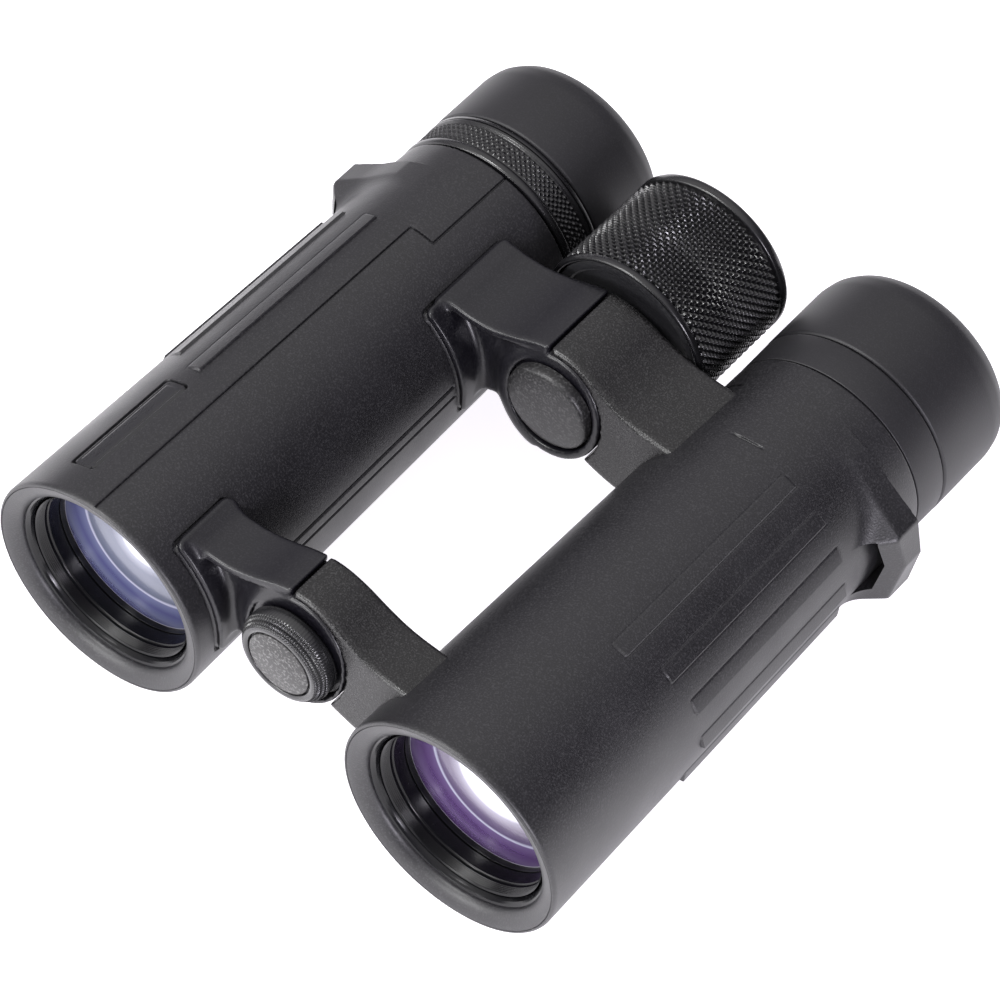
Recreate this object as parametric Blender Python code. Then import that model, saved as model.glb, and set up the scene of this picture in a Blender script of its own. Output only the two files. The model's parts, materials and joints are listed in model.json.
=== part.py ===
"""Roof-prism binoculars with an open double bridge, central focus and a folding hinge.

Lengths below are millimetres, written from two working planes: `y` counts back from the
front rims towards the eyecups, and `z` counts up from the height of the two barrel axes.
Each mesh is moved into the part's own frame (metres, base on Z = 0, centred) as it is made.
The left barrel (+X) is fixed to the hinge; the right barrel (-X) folds about it.
"""
import math

import bmesh
import bpy
from mathutils import Matrix, Vector

MM = 0.001

# ---- clearances ----------------------------------------------------------------------------
FIT = 0.3                  # between neighbouring solids
RUN = 0.6                  # between the two bridge halves along the top seam
WINDOW_GAP = 0.35          # armour window round a bridge foot

# ---- overall sizes -------------------------------------------------------------------------
HALF_IPD = 36.0            # barrel axis to the middle plane, barrels spread
LENGTH = 123.7             # front rims to eyecup ends
ARMOUR_END = 97.3          # where the armour stops
HINGE_Z = 9.3              # hinge axis above the barrel axes
REACH = math.hypot(HALF_IPD, HINGE_Z)
ARM_TILT = math.degrees(math.atan2(HINGE_Z, HALF_IPD))

# ---- facets --------------------------------------------------------------------------------
SEG_BIG = 32
SEG_MID = 20
SEG_SMALL = 16

# ---- barrel, from the glass outwards -------------------------------------------------------
LENS_R = 15.2              # objective lens
CELL_WALL = 0.6            # its cell
FRONT_WALL = 1.2           # tube round the cell
FRONT_RUBBER = 3.2         # armour at the front rim
OCULAR_R = 14.8            # eyepiece tube
OCULAR_SEAT = 0.4          # play between eyepiece tube and barrel tube
BACK_WALL = 1.4            # tube round the eyepiece
BACK_RUBBER = 2.1          # armour at its back end
BORE_FRONT_R = LENS_R + FIT + CELL_WALL + FIT
TUBE_FRONT_R = BORE_FRONT_R + FRONT_WALL
RIM_R = TUBE_FRONT_R + FIT + FRONT_RUBBER
BORE_BACK_R = OCULAR_R + OCULAR_SEAT
TUBE_BACK_R = BORE_BACK_R + BACK_WALL
TAIL_R = TUBE_BACK_R + FIT + BACK_RUBBER
LIP_R = BORE_FRONT_R + FIT  # opening of the armour's front lip
LIP_DEPTH = 1.9
TUBE_STEP = 62.0           # where the tube narrows for the prisms
TUBE_START = LIP_DEPTH + FIT
TUBE_END = ARMOUR_END - FIT

# ---- objective -----------------------------------------------------------------------------
LENS_EDGE = 8.3            # front edge of the lens
LENS_SAG = 1.8
LENS_BACK = 11.9
RETAINER_FRONT = 3.2
CELL_END = 19.0

# ---- focusing carriage ---------------------------------------------------------------------
CARRIAGE_FRONT = TUBE_STEP - 24.0
CARRIAGE_LONG = 7.0
CARRIAGE_BACK = CARRIAGE_FRONT + CARRIAGE_LONG
CARRIAGE_BORE = 12.0
ROD_IN = 12.4
ROD_OUT = 14.6
ROD_WIDE = 3.4
EYE_R = 6.3
EYE_BORE = 4.5
EYE_THICK = 1.3
EYE_WIDE = 4.2
CHANNEL_WIDE = 5.0         # slots the focus arms run in
TRAVEL_BACK = 1.8          # carriage travel towards the eyepieces
TRAVEL_FRONT = 1.3         # and towards the objectives

# ---- prisms and eyepiece -------------------------------------------------------------------
HOLDER_Y = TUBE_STEP + 2.0
HOLDER_THICK = 3.0
PRISM_HALF = 7.0
OCULAR_START = 84.5
OCULAR_END = LENGTH - 2.4
OCULAR_WALL = 2.6
OCULAR_BORE = OCULAR_R - OCULAR_WALL
FIELD_Y = 90.0
EYE_LENS_Y = OCULAR_END - 9.6
RING_START = ARMOUR_END + 0.5   # diopter ring and fixed ring
RIGHT_RING_END = RING_START + 7.8
LEFT_RING_END = RING_START + 6.6
RING_R = TAIL_R + 0.1
CUP_R = RING_R + 0.05

# ---- bridges and hinge ---------------------------------------------------------------------
KNUCKLE_R = 10.0
FLARE_R = KNUCKLE_R + 2.0  # lower lip of the right half beside the knuckle
HUMP = 1.55                # metal above the knuckle at the top of the bridge
FOLD_IN = 52.0             # degrees the right barrel folds in
FOLD_OUT = 1.5             # and past the spread position
SEAM_X = -2.0
FACE_SLOPE = 0.17          # front faces lean back, millimetres per millimetre of height
FRONT_FACE = 5.9           # front bridge face at hinge height
FRONT_BACK = 17.2
FRONT_SPLIT = 11.55        # where one knuckle hands over to the other
REAR_FACE = 70.0
REAR_BACK = 88.0
REAR_SPLIT = 81.75
ARM_TOP = 15.2             # arm height where it meets the left barrel
ARM_LOW = 0.4
KNEE_LOW = 2.6             # underside of an arm where it leaves the knuckle
SADDLE_THICK = 1.5
SADDLE_FROM = 35.5         # degrees from the top of the right barrel, towards the hinge
SADDLE_TO = 96.0
FOOT_TOP = 12.0
FOOT_LOW = 0.8
BUSH_BORE = 5.3
BUSH_R = 5.0
CHAMBER_R = 7.0
CHAMBER_FRONT = 73.3
CHAMBER_BACK = 82.9
SPINDLE_R = 2.6
CAP_RECESS_R = KNUCKLE_R - 0.8
REAR_CAP_R = KNUCKLE_R - 1.8

# ---- focus wheel ---------------------------------------------------------------------------
WHEEL_R = 15.9
GRIP_THICK = 1.0
WHEEL_FLANGE_R = WHEEL_R + 0.4
WHEEL_START = 89.4
WHEEL_END = 113.4
DRUM_R = WHEEL_R - GRIP_THICK - FIT

# ---- strap lugs ----------------------------------------------------------------------------
LUG_OUT = 5.15             # furthest point of a lug beyond the armour's back end
LUG_REACH = HALF_IPD + TAIL_R + LUG_OUT
LUG_WALL = 2.45            # lug outside the strap slot
LUG_BACK = 91.8
SLOT_HALF = 6.2            # half the height of the slot
SLOT_LIFT = 0.4            # slot's inner wall above the armour's back end

SIDES = {"left": 1.0, "right": -1.0}


# ---- small tools ---------------------------------------------------------------------------
def clear_scene():
    for obj in list(bpy.data.objects):
        bpy.data.objects.remove(obj, do_unlink=True)


def in_frame(x, y, z):
    return Vector((x, y - LENGTH / 2.0, z + RIM_R)) * MM


def material(name, colour, roughness, metallic=0.0):
    mat = bpy.data.materials.get(name)
    if mat is None:
        mat = bpy.data.materials.new(name)
        mat.use_nodes = True
        shader = mat.node_tree.nodes["Principled BSDF"]
        shader.inputs["Base Color"].default_value = (*colour, 1.0)
        shader.inputs["Roughness"].default_value = roughness
        shader.inputs["Metallic"].default_value = metallic
        mat.diffuse_color = (*colour, 1.0)
    return mat


def finish_mesh(name, bm, mat=None):
    bmesh.ops.recalc_face_normals(bm, faces=bm.faces)
    mesh = bpy.data.meshes.new(name)
    bm.to_mesh(mesh)
    bm.free()
    obj = bpy.data.objects.new(name, mesh)
    bpy.context.scene.collection.objects.link(obj)
    if mat is not None:
        mesh.materials.append(mat)
    return obj


def turn(name, profile, cx, cz, seg, mat=None):
    """Turned solid about a line along Y through (cx, cz). profile is (radius, y) pairs."""
    bm = bmesh.new()
    rings = []
    for radius, y in profile:
        if radius == 0.0:
            rings.append([bm.verts.new(in_frame(cx, y, cz))])
            continue
        ring = []
        for i in range(seg):
            a = 2.0 * math.pi * i / seg
            ring.append(bm.verts.new(in_frame(cx + radius * math.sin(a), y, cz + radius * math.cos(a))))
        rings.append(ring)
    count = len(rings)
    solid_core = len(rings[0]) == 1 and len(rings[-1]) == 1
    for k in range(count - 1 if solid_core else count):
        a, b = rings[k], rings[(k + 1) % count]
        for i in range(seg):
            j = (i + 1) % seg
            corners = [a[i % len(a)], b[i % len(b)], b[j % len(b)], a[j % len(a)]]
            face = []
            for v in corners:
                if v not in face:
                    face.append(v)
            if len(face) > 2:
                bm.faces.new(face)
    return finish_mesh(name, bm, mat)


def prism_xz(name, outline, y_front, y_back, mat=None, slope=0.0, slope_z=0.0):
    """Outline of (x, z) corners drawn out along Y, its front face leaning back by slope."""
    bm = bmesh.new()
    front = []
    for x, z in outline:
        front.append(bm.verts.new(in_frame(x, y_front + slope * (z - slope_z), z)))
    back = [bm.verts.new(in_frame(x, y_back, z)) for x, z in outline]
    bm.faces.new(front)
    bm.faces.new(list(reversed(back)))
    for i in range(len(outline)):
        j = (i + 1) % len(outline)
        bm.faces.new([front[i], back[i], back[j], front[j]])
    return finish_mesh(name, bm, mat)


def prism_xy(name, outline, z_low, z_high, mat=None):
    """Outline of (x, y) corners drawn up along Z."""
    bm = bmesh.new()
    low = [bm.verts.new(in_frame(x, y, z_low)) for x, y in outline]
    high = [bm.verts.new(in_frame(x, y, z_high)) for x, y in outline]
    bm.faces.new(list(reversed(low)))
    bm.faces.new(high)
    for i in range(len(outline)):
        j = (i + 1) % len(outline)
        bm.faces.new([low[i], low[j], high[j], high[i]])
    return finish_mesh(name, bm, mat)


def prism_yz(name, outline, x_from, x_to, mat=None):
    """Outline of (y, z) corners drawn out along X."""
    bm = bmesh.new()
    near = [bm.verts.new(in_frame(x_from, y, z)) for y, z in outline]
    far = [bm.verts.new(in_frame(x_to, y, z)) for y, z in outline]
    bm.faces.new(near)
    bm.faces.new(list(reversed(far)))
    for i in range(len(outline)):
        j = (i + 1) % len(outline)
        bm.faces.new([near[i], far[i], far[j], near[j]])
    return finish_mesh(name, bm, mat)


def box(name, x0, x1, y0, y1, z0, z1, mat=None):
    return prism_xz(name, [(x0, z0), (x1, z0), (x1, z1), (x0, z1)], y0, y1, mat)


def along_arm(name, side, near, far, wide, y0, y1, mat=None):
    """Bar lying on the line from the hinge axis to one barrel axis; near and far are
    distances from the hinge axis, wide is its height across that line."""
    dx, dz = side * HALF_IPD / REACH, -HINGE_Z / REACH
    nx, nz = -dz, dx
    corners = []
    for dist, off in ((near, -wide / 2), (far, -wide / 2), (far, wide / 2), (near, wide / 2)):
        corners.append((dx * dist + nx * off, HINGE_Z + dz * dist + nz * off))
    return prism_xz(name, corners, y0, y1, mat)


def arc_block(name, cx, angles, y0, y1, inner, outer, steps, mat=None):
    """Curved slab on a barrel. angles are degrees from the top; inner and outer are the
    radii at y0 and at y1."""
    bm = bmesh.new()
    rows = []
    for i in range(steps + 1):
        a = math.radians(angles[0] + (angles[1] - angles[0]) * i / steps)
        row = []
        for radius, y in ((inner[0], y0), (outer[0], y0), (outer[1], y1), (inner[1], y1)):
            row.append(bm.verts.new(in_frame(cx + radius * math.sin(a), y, radius * math.cos(a))))
        rows.append(row)
    bm.faces.new(rows[0])
    bm.faces.new(list(reversed(rows[-1])))
    for a, b in zip(rows, rows[1:]):
        for k in range(4):
            m = (k + 1) % 4
            bm.faces.new([a[k], b[k], b[m], a[m]])
    return finish_mesh(name, bm, mat)


def combine(obj, tool, operation):
    """Exact boolean of obj with tool; the tool is used up."""
    tool.hide_render = True
    tool.display_type = "WIRE"
    mod = obj.modifiers.new("combine", "BOOLEAN")
    mod.operation = operation
    mod.solver = "EXACT"
    mod.object = tool
    graph = bpy.context.evaluated_depsgraph_get()
    mesh = bpy.data.meshes.new_from_object(obj.evaluated_get(graph))
    old = obj.data
    obj.modifiers.clear()
    obj.data = mesh
    bpy.data.meshes.remove(old)
    used = tool.data
    bpy.data.objects.remove(tool, do_unlink=True)
    bpy.data.meshes.remove(used)
    return obj


def cut(obj, tool):
    return combine(obj, tool, "DIFFERENCE")


def add(obj, tool):
    return combine(obj, tool, "UNION")


def polish(obj, name, origin, smooth=True):
    """Name the finished piece, weld stray seams, put its origin on its own axis."""
    obj.name = name
    obj.data.name = name
    bm = bmesh.new()
    bm.from_mesh(obj.data)
    bmesh.ops.remove_doubles(bm, verts=bm.verts, dist=0.00001)
    bmesh.ops.dissolve_degenerate(bm, dist=0.000005, edges=bm.edges)
    bmesh.ops.recalc_face_normals(bm, faces=bm.faces)
    bm.to_mesh(obj.data)
    bm.free()
    at = in_frame(*origin)
    obj.data.transform(Matrix.Translation(-at))
    obj.location = at
    if smooth:
        obj.data.shade_smooth()
        obj.data.set_sharp_from_angle(angle=math.radians(32.0))
    return obj


def hinge_point(y):
    return (0.0, y, HINGE_Z)


# ---- materials -----------------------------------------------------------------------------
def make_materials():
    return {
        "armour": material("soft_armour_rubber", (0.030, 0.029, 0.034), 0.62),
        "cup": material("eyecup_rubber", (0.027, 0.026, 0.030), 0.68),
        "cast": material("painted_casting", (0.024, 0.023, 0.027), 0.45, 0.15),
        "tube": material("black_tube", (0.018, 0.018, 0.020), 0.40, 0.30),
        "ring": material("black_anodised_ring", (0.012, 0.012, 0.014), 0.25, 0.80),
        "wheel": material("wheel_rubber", (0.030, 0.030, 0.034), 0.50),
        "steel": material("plain_steel", (0.55, 0.55, 0.56), 0.30, 1.0),
        "brass": material("plain_brass", (0.62, 0.47, 0.22), 0.35, 1.0),
        "plastic": material("black_plastic", (0.035, 0.035, 0.040), 0.50),
        "coated": material("coated_glass", (0.16, 0.10, 0.30), 0.05),
        "glass": material("clear_glass", (0.80, 0.86, 0.88), 0.03),
        "badge": material("badge_plate", (0.060, 0.060, 0.068), 0.35, 0.30),
    }


# ---- barrel pieces -------------------------------------------------------------------------
def armour_radius(y):
    return RIM_R + (TAIL_R - RIM_R) * y / ARMOUR_END


def strap_lug(side):
    """Ear swept back in plan, a little deeper below the barrel axis than above it."""
    s = side
    deep = 11.0
    plan = [(-deep, 75.3), (0.0, 86.5), (0.0, LUG_BACK), (-deep, LUG_BACK)]
    front = [(-deep, 13.1), (-1.35, 7.15), (0.0, 0.0), (-1.65, -8.6), (-deep, -14.9)]
    plan = [(s * (LUG_REACH + x), y) for x, y in plan]
    front = [(s * (LUG_REACH + x), z) for x, z in front]
    lug = prism_xy("lug", plan, -16.0, 16.0)
    combine(lug, prism_xz("lug_front", front, 70.0, 100.0), "INTERSECT")
    x0, x1 = sorted((s * (LUG_REACH - deep - 1.0), s * (LUG_REACH + 1.0)))
    for up, low in ((1.0, 2.5), (-1.0, 4.0)):
        sweep = [(60.0, up * low), (79.9, up * low), (89.7, up * (low + 11.5)), (60.0, up * (low + 11.5))]
        cut(lug, prism_yz("sweep", sweep, x0, x1))
    root = (TUBE_BACK_R + FIT + TAIL_R) / 2
    cut(lug, turn("root", [(0.0, 60.0), (root, 60.0), (root, 110.0), (0.0, 110.0)], s * HALF_IPD, 0.0, SEG_BIG))
    return lug


def slot_tool(side):
    """Strap slot between the barrel and the lug's outer wall."""
    inner = TAIL_R + SLOT_LIFT
    outer = LUG_REACH - LUG_WALL
    outline = [(outer - 1.3, SLOT_HALF), (outer, 0.0), (outer - 1.3, -SLOT_HALF)]
    for part in (-1.0, -0.5, 0.0, 0.5, 1.0):
        z = part * SLOT_HALF
        outline.append((HALF_IPD + math.sqrt(inner ** 2 - z ** 2), z))
    return prism_xz("slot", [(side * x, z) for x, z in outline], 79.6, LUG_BACK + 1.0)


def make_armour(label, mats):
    s = SIDES[label]
    cx = s * HALF_IPD
    profile = [(LIP_R, 0.0), (RIM_R - 0.4, 0.0), (RIM_R, 0.4), (TAIL_R, ARMOUR_END),
               (TUBE_BACK_R + FIT, ARMOUR_END), (TUBE_BACK_R + FIT, TUBE_STEP),
               (TUBE_FRONT_R + FIT, TUBE_STEP), (TUBE_FRONT_R + FIT, LIP_DEPTH), (LIP_R, LIP_DEPTH)]
    body = turn("armour", profile, cx, 0.0, SEG_BIG, mats["armour"])
    add(body, strap_lug(s))
    cut(body, slot_tool(s))
    low, top = (ARM_LOW, ARM_TOP) if label == "left" else (FOOT_LOW, FOOT_TOP)
    x0, x1 = sorted((s * (HALF_IPD - RIM_R - 2.9), s * (HALF_IPD - 6.4)))
    for face, back in ((FRONT_FACE, FRONT_BACK), (REAR_FACE, REAR_BACK)):
        front = face + FACE_SLOPE * (low - HINGE_Z) - WINDOW_GAP
        cut(body, box("window", x0, x1, front, back + WINDOW_GAP, low - WINDOW_GAP, top + WINDOW_GAP))
    if label == "right":
        cut(body, badge_block("badge_recess", FIT, 1.2))
    return polish(body, label + "_armour", (cx, 0.0, 0.0))


def badge_block(name, margin, depth):
    """Curved plate let into the right armour; the recess is the same block with a margin."""
    cx = -HALF_IPD
    y0, y1 = 6.5 - margin, 29.1 + margin
    spread = math.degrees(margin / RIM_R)
    angles = (-30.3 - spread, -15.7 + spread)
    above = 1.0 if margin else -0.15
    inner = (armour_radius(y0) - depth, armour_radius(y1) - depth)
    outer = (armour_radius(y0) + above, armour_radius(y1) + above)
    return arc_block(name, cx, angles, y0, y1, inner, outer, 5)


def make_badge(mats):
    plate = badge_block("badge", 0.0, 0.85)
    plate.data.materials.append(mats["badge"])
    return polish(plate, "right_badge_inlay", (-HALF_IPD, 0.0, 0.0))


def make_tube(label, mats):
    s = SIDES[label]
    cx = s * HALF_IPD
    profile = [(BORE_FRONT_R, TUBE_START), (TUBE_FRONT_R, TUBE_START), (TUBE_FRONT_R, TUBE_STEP - FIT),
               (TUBE_BACK_R, TUBE_STEP - FIT), (TUBE_BACK_R, TUBE_END), (BORE_BACK_R, TUBE_END),
               (BORE_BACK_R, TUBE_STEP - 1.6), (BORE_FRONT_R, TUBE_STEP - 1.6)]
    tube = turn("tube", profile, cx, 0.0, SEG_BIG, mats["tube"])
    y0, y1 = channel_span(label)
    cut(tube, along_arm("slot", s, REACH - 19.0, REACH - 11.0, CHANNEL_WIDE, y0, y1))
    return polish(tube, label + "_barrel_tube", (cx, 0.0, 0.0))


def make_objective(label, mats):
    cx = SIDES[label] * HALF_IPD
    at = (cx, 0.0, 0.0)
    outer = BORE_FRONT_R - FIT
    seat = LENS_R - FIT
    ring = turn("ring", [(outer - 0.4, RETAINER_FRONT), (outer, RETAINER_FRONT), (outer, LENS_EDGE - FIT),
                         (seat, LENS_EDGE - FIT), (seat, LENS_EDGE - 1.5)], cx, 0.0, SEG_MID, mats["ring"])
    polish(ring, label + "_objective_retaining_ring", at)
    lens = turn("lens", [(0.0, LENS_EDGE - LENS_SAG), (LENS_R * 0.5, LENS_EDGE - LENS_SAG * 0.76),
                         (LENS_R * 0.8, LENS_EDGE - LENS_SAG * 0.37), (LENS_R, LENS_EDGE),
                         (LENS_R, LENS_BACK), (LENS_R * 0.6, LENS_BACK + 0.6), (0.0, LENS_BACK + 0.9)],
                cx, 0.0, SEG_MID, mats["coated"])
    polish(lens, label + "_objective_lens", at)
    shoulder = LENS_BACK + 0.45
    cell = turn("cell", [(LENS_R + FIT, LENS_EDGE), (outer, LENS_EDGE), (outer, CELL_END),
                         (seat - 0.8, CELL_END), (seat - 0.8, shoulder), (LENS_R + FIT, shoulder)],
                cx, 0.0, SEG_MID, mats["tube"])
    polish(cell, label + "_objective_cell", at)


def eye_span(label):
    start = 76.4 if label == "left" else 76.4 + EYE_THICK + FIT
    return start, start + EYE_THICK


def channel_span(label):
    start, end = eye_span(label)
    return start - TRAVEL_FRONT - FIT, end + TRAVEL_BACK + FIT


def focus_arm(side, y0, y1):
    """Flat arm from the eye round the spindle to the rod beside the prisms."""
    half = math.degrees(math.asin(EYE_WIDE / 2 / EYE_R))
    outline = []
    for i in range(15):
        a = math.radians(-ARM_TILT + half + (360.0 - 2 * half) * i / 14)
        outline.append((side * EYE_R * math.cos(a), HINGE_Z + EYE_R * math.sin(a)))
    dx, dz = HALF_IPD / REACH, -HINGE_Z / REACH
    far = REACH - ROD_IN - 0.4
    for off in (-EYE_WIDE / 2, EYE_WIDE / 2):
        outline.append((side * (dx * far - dz * off), HINGE_Z + dz * far + dx * off))
    return prism_xz("arm", outline, y0, y1)


def make_carriage(label, mats):
    s = SIDES[label]
    cx = s * HALF_IPD
    y0, y1 = eye_span(label)
    outer = BORE_FRONT_R - 0.5
    body = turn("carriage", [(CARRIAGE_BORE, CARRIAGE_FRONT), (outer, CARRIAGE_FRONT),
                             (outer, CARRIAGE_BACK), (CARRIAGE_BORE, CARRIAGE_BACK)],
                cx, 0.0, SEG_MID, mats["tube"])
    rod = along_arm("rod", s, REACH - ROD_OUT, REACH - ROD_IN, ROD_WIDE, CARRIAGE_BACK - 2.0, y1 - 0.3)
    add(body, rod)
    arm = focus_arm(s, y0, y1)
    cut(arm, cylinder_tool(EYE_BORE, y0 - 1.0, y1 + 1.0, SEG_SMALL))
    add(body, arm)
    polish(body, label + "_focus_carriage", (cx, 0.0, 0.0))
    lens_r = CARRIAGE_BORE - FIT
    y0 = CARRIAGE_FRONT + 1.2
    lens = turn("focus_lens", [(0.0, y0 + 1.4), (lens_r * 0.6, y0 + 0.9), (lens_r, y0), (lens_r, y0 + 4.6),
                               (lens_r * 0.6, y0 + 3.8), (0.0, y0 + 3.4)], cx, 0.0, SEG_SMALL, mats["glass"])
    polish(lens, label + "_focusing_lens", (cx, 0.0, 0.0))


def make_prisms(label, mats):
    s = SIDES[label]
    cx = s * HALF_IPD
    at = (cx, 0.0, 0.0)
    back = HOLDER_Y + HOLDER_THICK
    holder = turn("holder", [(6.0, HOLDER_Y), (BORE_BACK_R - FIT, HOLDER_Y), (BORE_BACK_R - FIT, back),
                             (6.0, back)], cx, 0.0, SEG_MID, mats["plastic"])
    notch = along_arm("notch", s, REACH - 16.0, REACH - ROD_IN + 0.4, ROD_WIDE + 1.0,
                      HOLDER_Y - 1.0, back + 1.0)
    cut(holder, notch)
    polish(holder, label + "_prism_holder", at)
    x0, x1 = cx - PRISM_HALF, cx + PRISM_HALF
    seat = HOLDER_Y - FIT
    front = prism_yz("penta", [(seat - 12.9, -8.2), (seat - 2.7, -8.2), (seat, -5.2), (seat, 8.6),
                               (seat - 7.2, 8.6), (seat - 12.9, 1.2)], x0, x1, mats["glass"])
    polish(front, label + "_half_penta_prism", at, smooth=False)
    roof = prism_xz("roof", [(x0, -8.2), (x1, -8.2), (x1, 3.4), (cx, 9.2), (x0, 3.4)],
                    back + FIT, back + 15.6, mats["glass"])
    wedge = [(back - 1, 10.0), (back + FIT + 1.5, 10.0), (back - 1, 2.0)]
    cut(roof, prism_yz("wedge", wedge, x0 - 2, x1 + 2))
    wedge = [(back + 16.6, -9.4), (back + 9.0, -9.4), (back + 16.6, -0.5)]
    cut(roof, prism_yz("wedge", wedge, x0 - 2, x1 + 2))
    polish(roof, label + "_roof_prism", at, smooth=False)


def make_eyepiece(label, mats):
    cx = SIDES[label] * HALF_IPD
    at = (cx, 0.0, 0.0)
    fill = OCULAR_BORE - FIT
    lip = fill - 1.3
    tube = turn("ocular", [(lip, OCULAR_START), (OCULAR_R, OCULAR_START), (OCULAR_R, OCULAR_END),
                           (OCULAR_BORE, OCULAR_END), (OCULAR_BORE, OCULAR_START + 1.5),
                           (lip, OCULAR_START + 1.5)], cx, 0.0, SEG_MID, mats["plastic"])
    polish(tube, label + "_ocular_tube", at)
    seat = fill - 2.5
    cell = turn("field_cell", [(seat, FIELD_Y), (fill, FIELD_Y), (fill, FIELD_Y + 6.0), (lip, FIELD_Y + 6.0),
                               (lip, FIELD_Y + 1.2), (seat, FIELD_Y + 1.2)], cx, 0.0, SEG_SMALL, mats["tube"])
    polish(cell, label + "_field_cell", at)
    edge = lip - FIT
    lens = turn("field", [(0.0, FIELD_Y + 0.5), (seat - 0.8, FIELD_Y + 1.5), (edge, FIELD_Y + 1.5),
                          (edge, FIELD_Y + 4.6), (0.0, FIELD_Y + 5.8)], cx, 0.0, SEG_SMALL, mats["glass"])
    polish(lens, label + "_field_lens", at)
    spacer = turn("spacer", [(lip, FIELD_Y + 7.0), (fill, FIELD_Y + 7.0), (fill, EYE_LENS_Y - FIT),
                             (lip, EYE_LENS_Y - FIT)], cx, 0.0, SEG_SMALL, mats["tube"])
    polish(spacer, label + "_eyepiece_spacer", at)
    lens = turn("eye", [(0.0, EYE_LENS_Y + 0.6), (fill, EYE_LENS_Y), (fill, EYE_LENS_Y + 4.6),
                        (fill - 2.9, EYE_LENS_Y + 5.6), (0.0, EYE_LENS_Y + 6.4)], cx, 0.0, SEG_MID, mats["coated"])
    polish(lens, label + "_eye_lens", at)
    ring_y = EYE_LENS_Y + 5.2
    hole = fill - 2.0
    ring = turn("eye_ring", [(hole, ring_y + 0.6), (fill, ring_y), (fill, ring_y + 2.6),
                             (fill - 1.0, ring_y + 2.6), (hole, ring_y + 1.6)], cx, 0.0, SEG_MID, mats["ring"])
    polish(ring, label + "_eye_lens_ring", at)


def make_eyecup(label, mats):
    cx = SIDES[label] * HALF_IPD
    at = (cx, 0.0, 0.0)
    start = (LEFT_RING_END if label == "left" else RIGHT_RING_END) + FIT
    bore = OCULAR_R + FIT
    carrier = turn("carrier", [(bore, start + 0.3), (bore + 1.5, start + 0.3), (bore + 1.5, LENGTH - 2.1),
                               (bore, LENGTH - 2.1)], cx, 0.0, SEG_MID, mats["plastic"])
    polish(carrier, label + "_eyecup_carrier", at)
    wall = bore + 1.5 + FIT
    cup = turn("cup", [(wall, start), (CUP_R - 0.4, start), (CUP_R, start + 0.6), (CUP_R, LENGTH - 3.8),
                       (CUP_R - 0.9, LENGTH - 1.3), (CUP_R - 2.4, LENGTH), (bore, LENGTH),
                       (bore, LENGTH - 1.8), (wall, LENGTH - 1.8)],
               cx, 0.0, SEG_BIG, mats["cup"])
    polish(cup, label + "_eyecup", at)


def make_rear_rings(mats):
    bore = OCULAR_R + FIT
    cx = -HALF_IPD
    ring = turn("diopter", [(bore, RING_START), (RING_R - 0.4, RING_START), (RING_R, RING_START + 0.4),
                            (RING_R, RIGHT_RING_END - 0.3), (RING_R - 0.3, RIGHT_RING_END),
                            (bore, RIGHT_RING_END)], cx, 0.0, SEG_BIG, mats["wheel"])
    polish(ring, "right_diopter_ring", (cx, 0.0, 0.0))
    cx = HALF_IPD
    ring = turn("collar", [(bore, RING_START), (RING_R, RING_START), (RING_R, LEFT_RING_END),
                           (bore, LEFT_RING_END)], cx, 0.0, SEG_BIG, mats["plastic"])
    polish(ring, "left_collar_ring", (cx, 0.0, 0.0))


# ---- bridges -------------------------------------------------------------------------------
def polar(cx, cz, radius, degrees):
    a = math.radians(degrees)
    return (cx + radius * math.cos(a), cz + radius * math.sin(a))


def circle_points(radius, start, end, steps):
    return [polar(0.0, HINGE_Z, radius, start + (end - start) * i / steps) for i in range(steps + 1)]


def top_line():
    """Outline of the hump and arm top, from the seam outwards."""
    top = HINGE_Z + KNUCKLE_R + HUMP
    return [(1.7, top), (5.5, top - 1.05), (10.0, top - 3.05), (15.0, ARM_TOP + 0.7)]


def left_outline(tube_r):
    """Left half: hump, arm, foot end against the tube, and the full knuckle."""
    edge = SEAM_X + RUN / 2
    end_x_top = HALF_IPD - math.sqrt(tube_r ** 2 - ARM_TOP ** 2)
    end_x_low = HALF_IPD - math.sqrt(tube_r ** 2 - ARM_LOW ** 2)
    points = [(edge, top_line()[0][1] - 0.05)] + top_line() + [(19.5, ARM_TOP), (end_x_top, ARM_TOP)]
    first = math.degrees(math.asin(ARM_TOP / tube_r))
    last = math.degrees(math.asin(ARM_LOW / tube_r))
    for i in range(1, 4):
        a = math.radians(first + (last - first) * i / 4)
        points.append((HALF_IPD - (tube_r + 0.1) * math.cos(a), (tube_r + 0.1) * math.sin(a)))
    points.append((end_x_low, ARM_LOW))
    start = math.degrees(math.asin((KNEE_LOW - HINGE_Z) / KNUCKLE_R))
    stop = math.degrees(math.acos(edge / KNUCKLE_R)) - 360.0
    points += circle_points(KNUCKLE_R, start, stop, 18)
    return points


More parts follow.
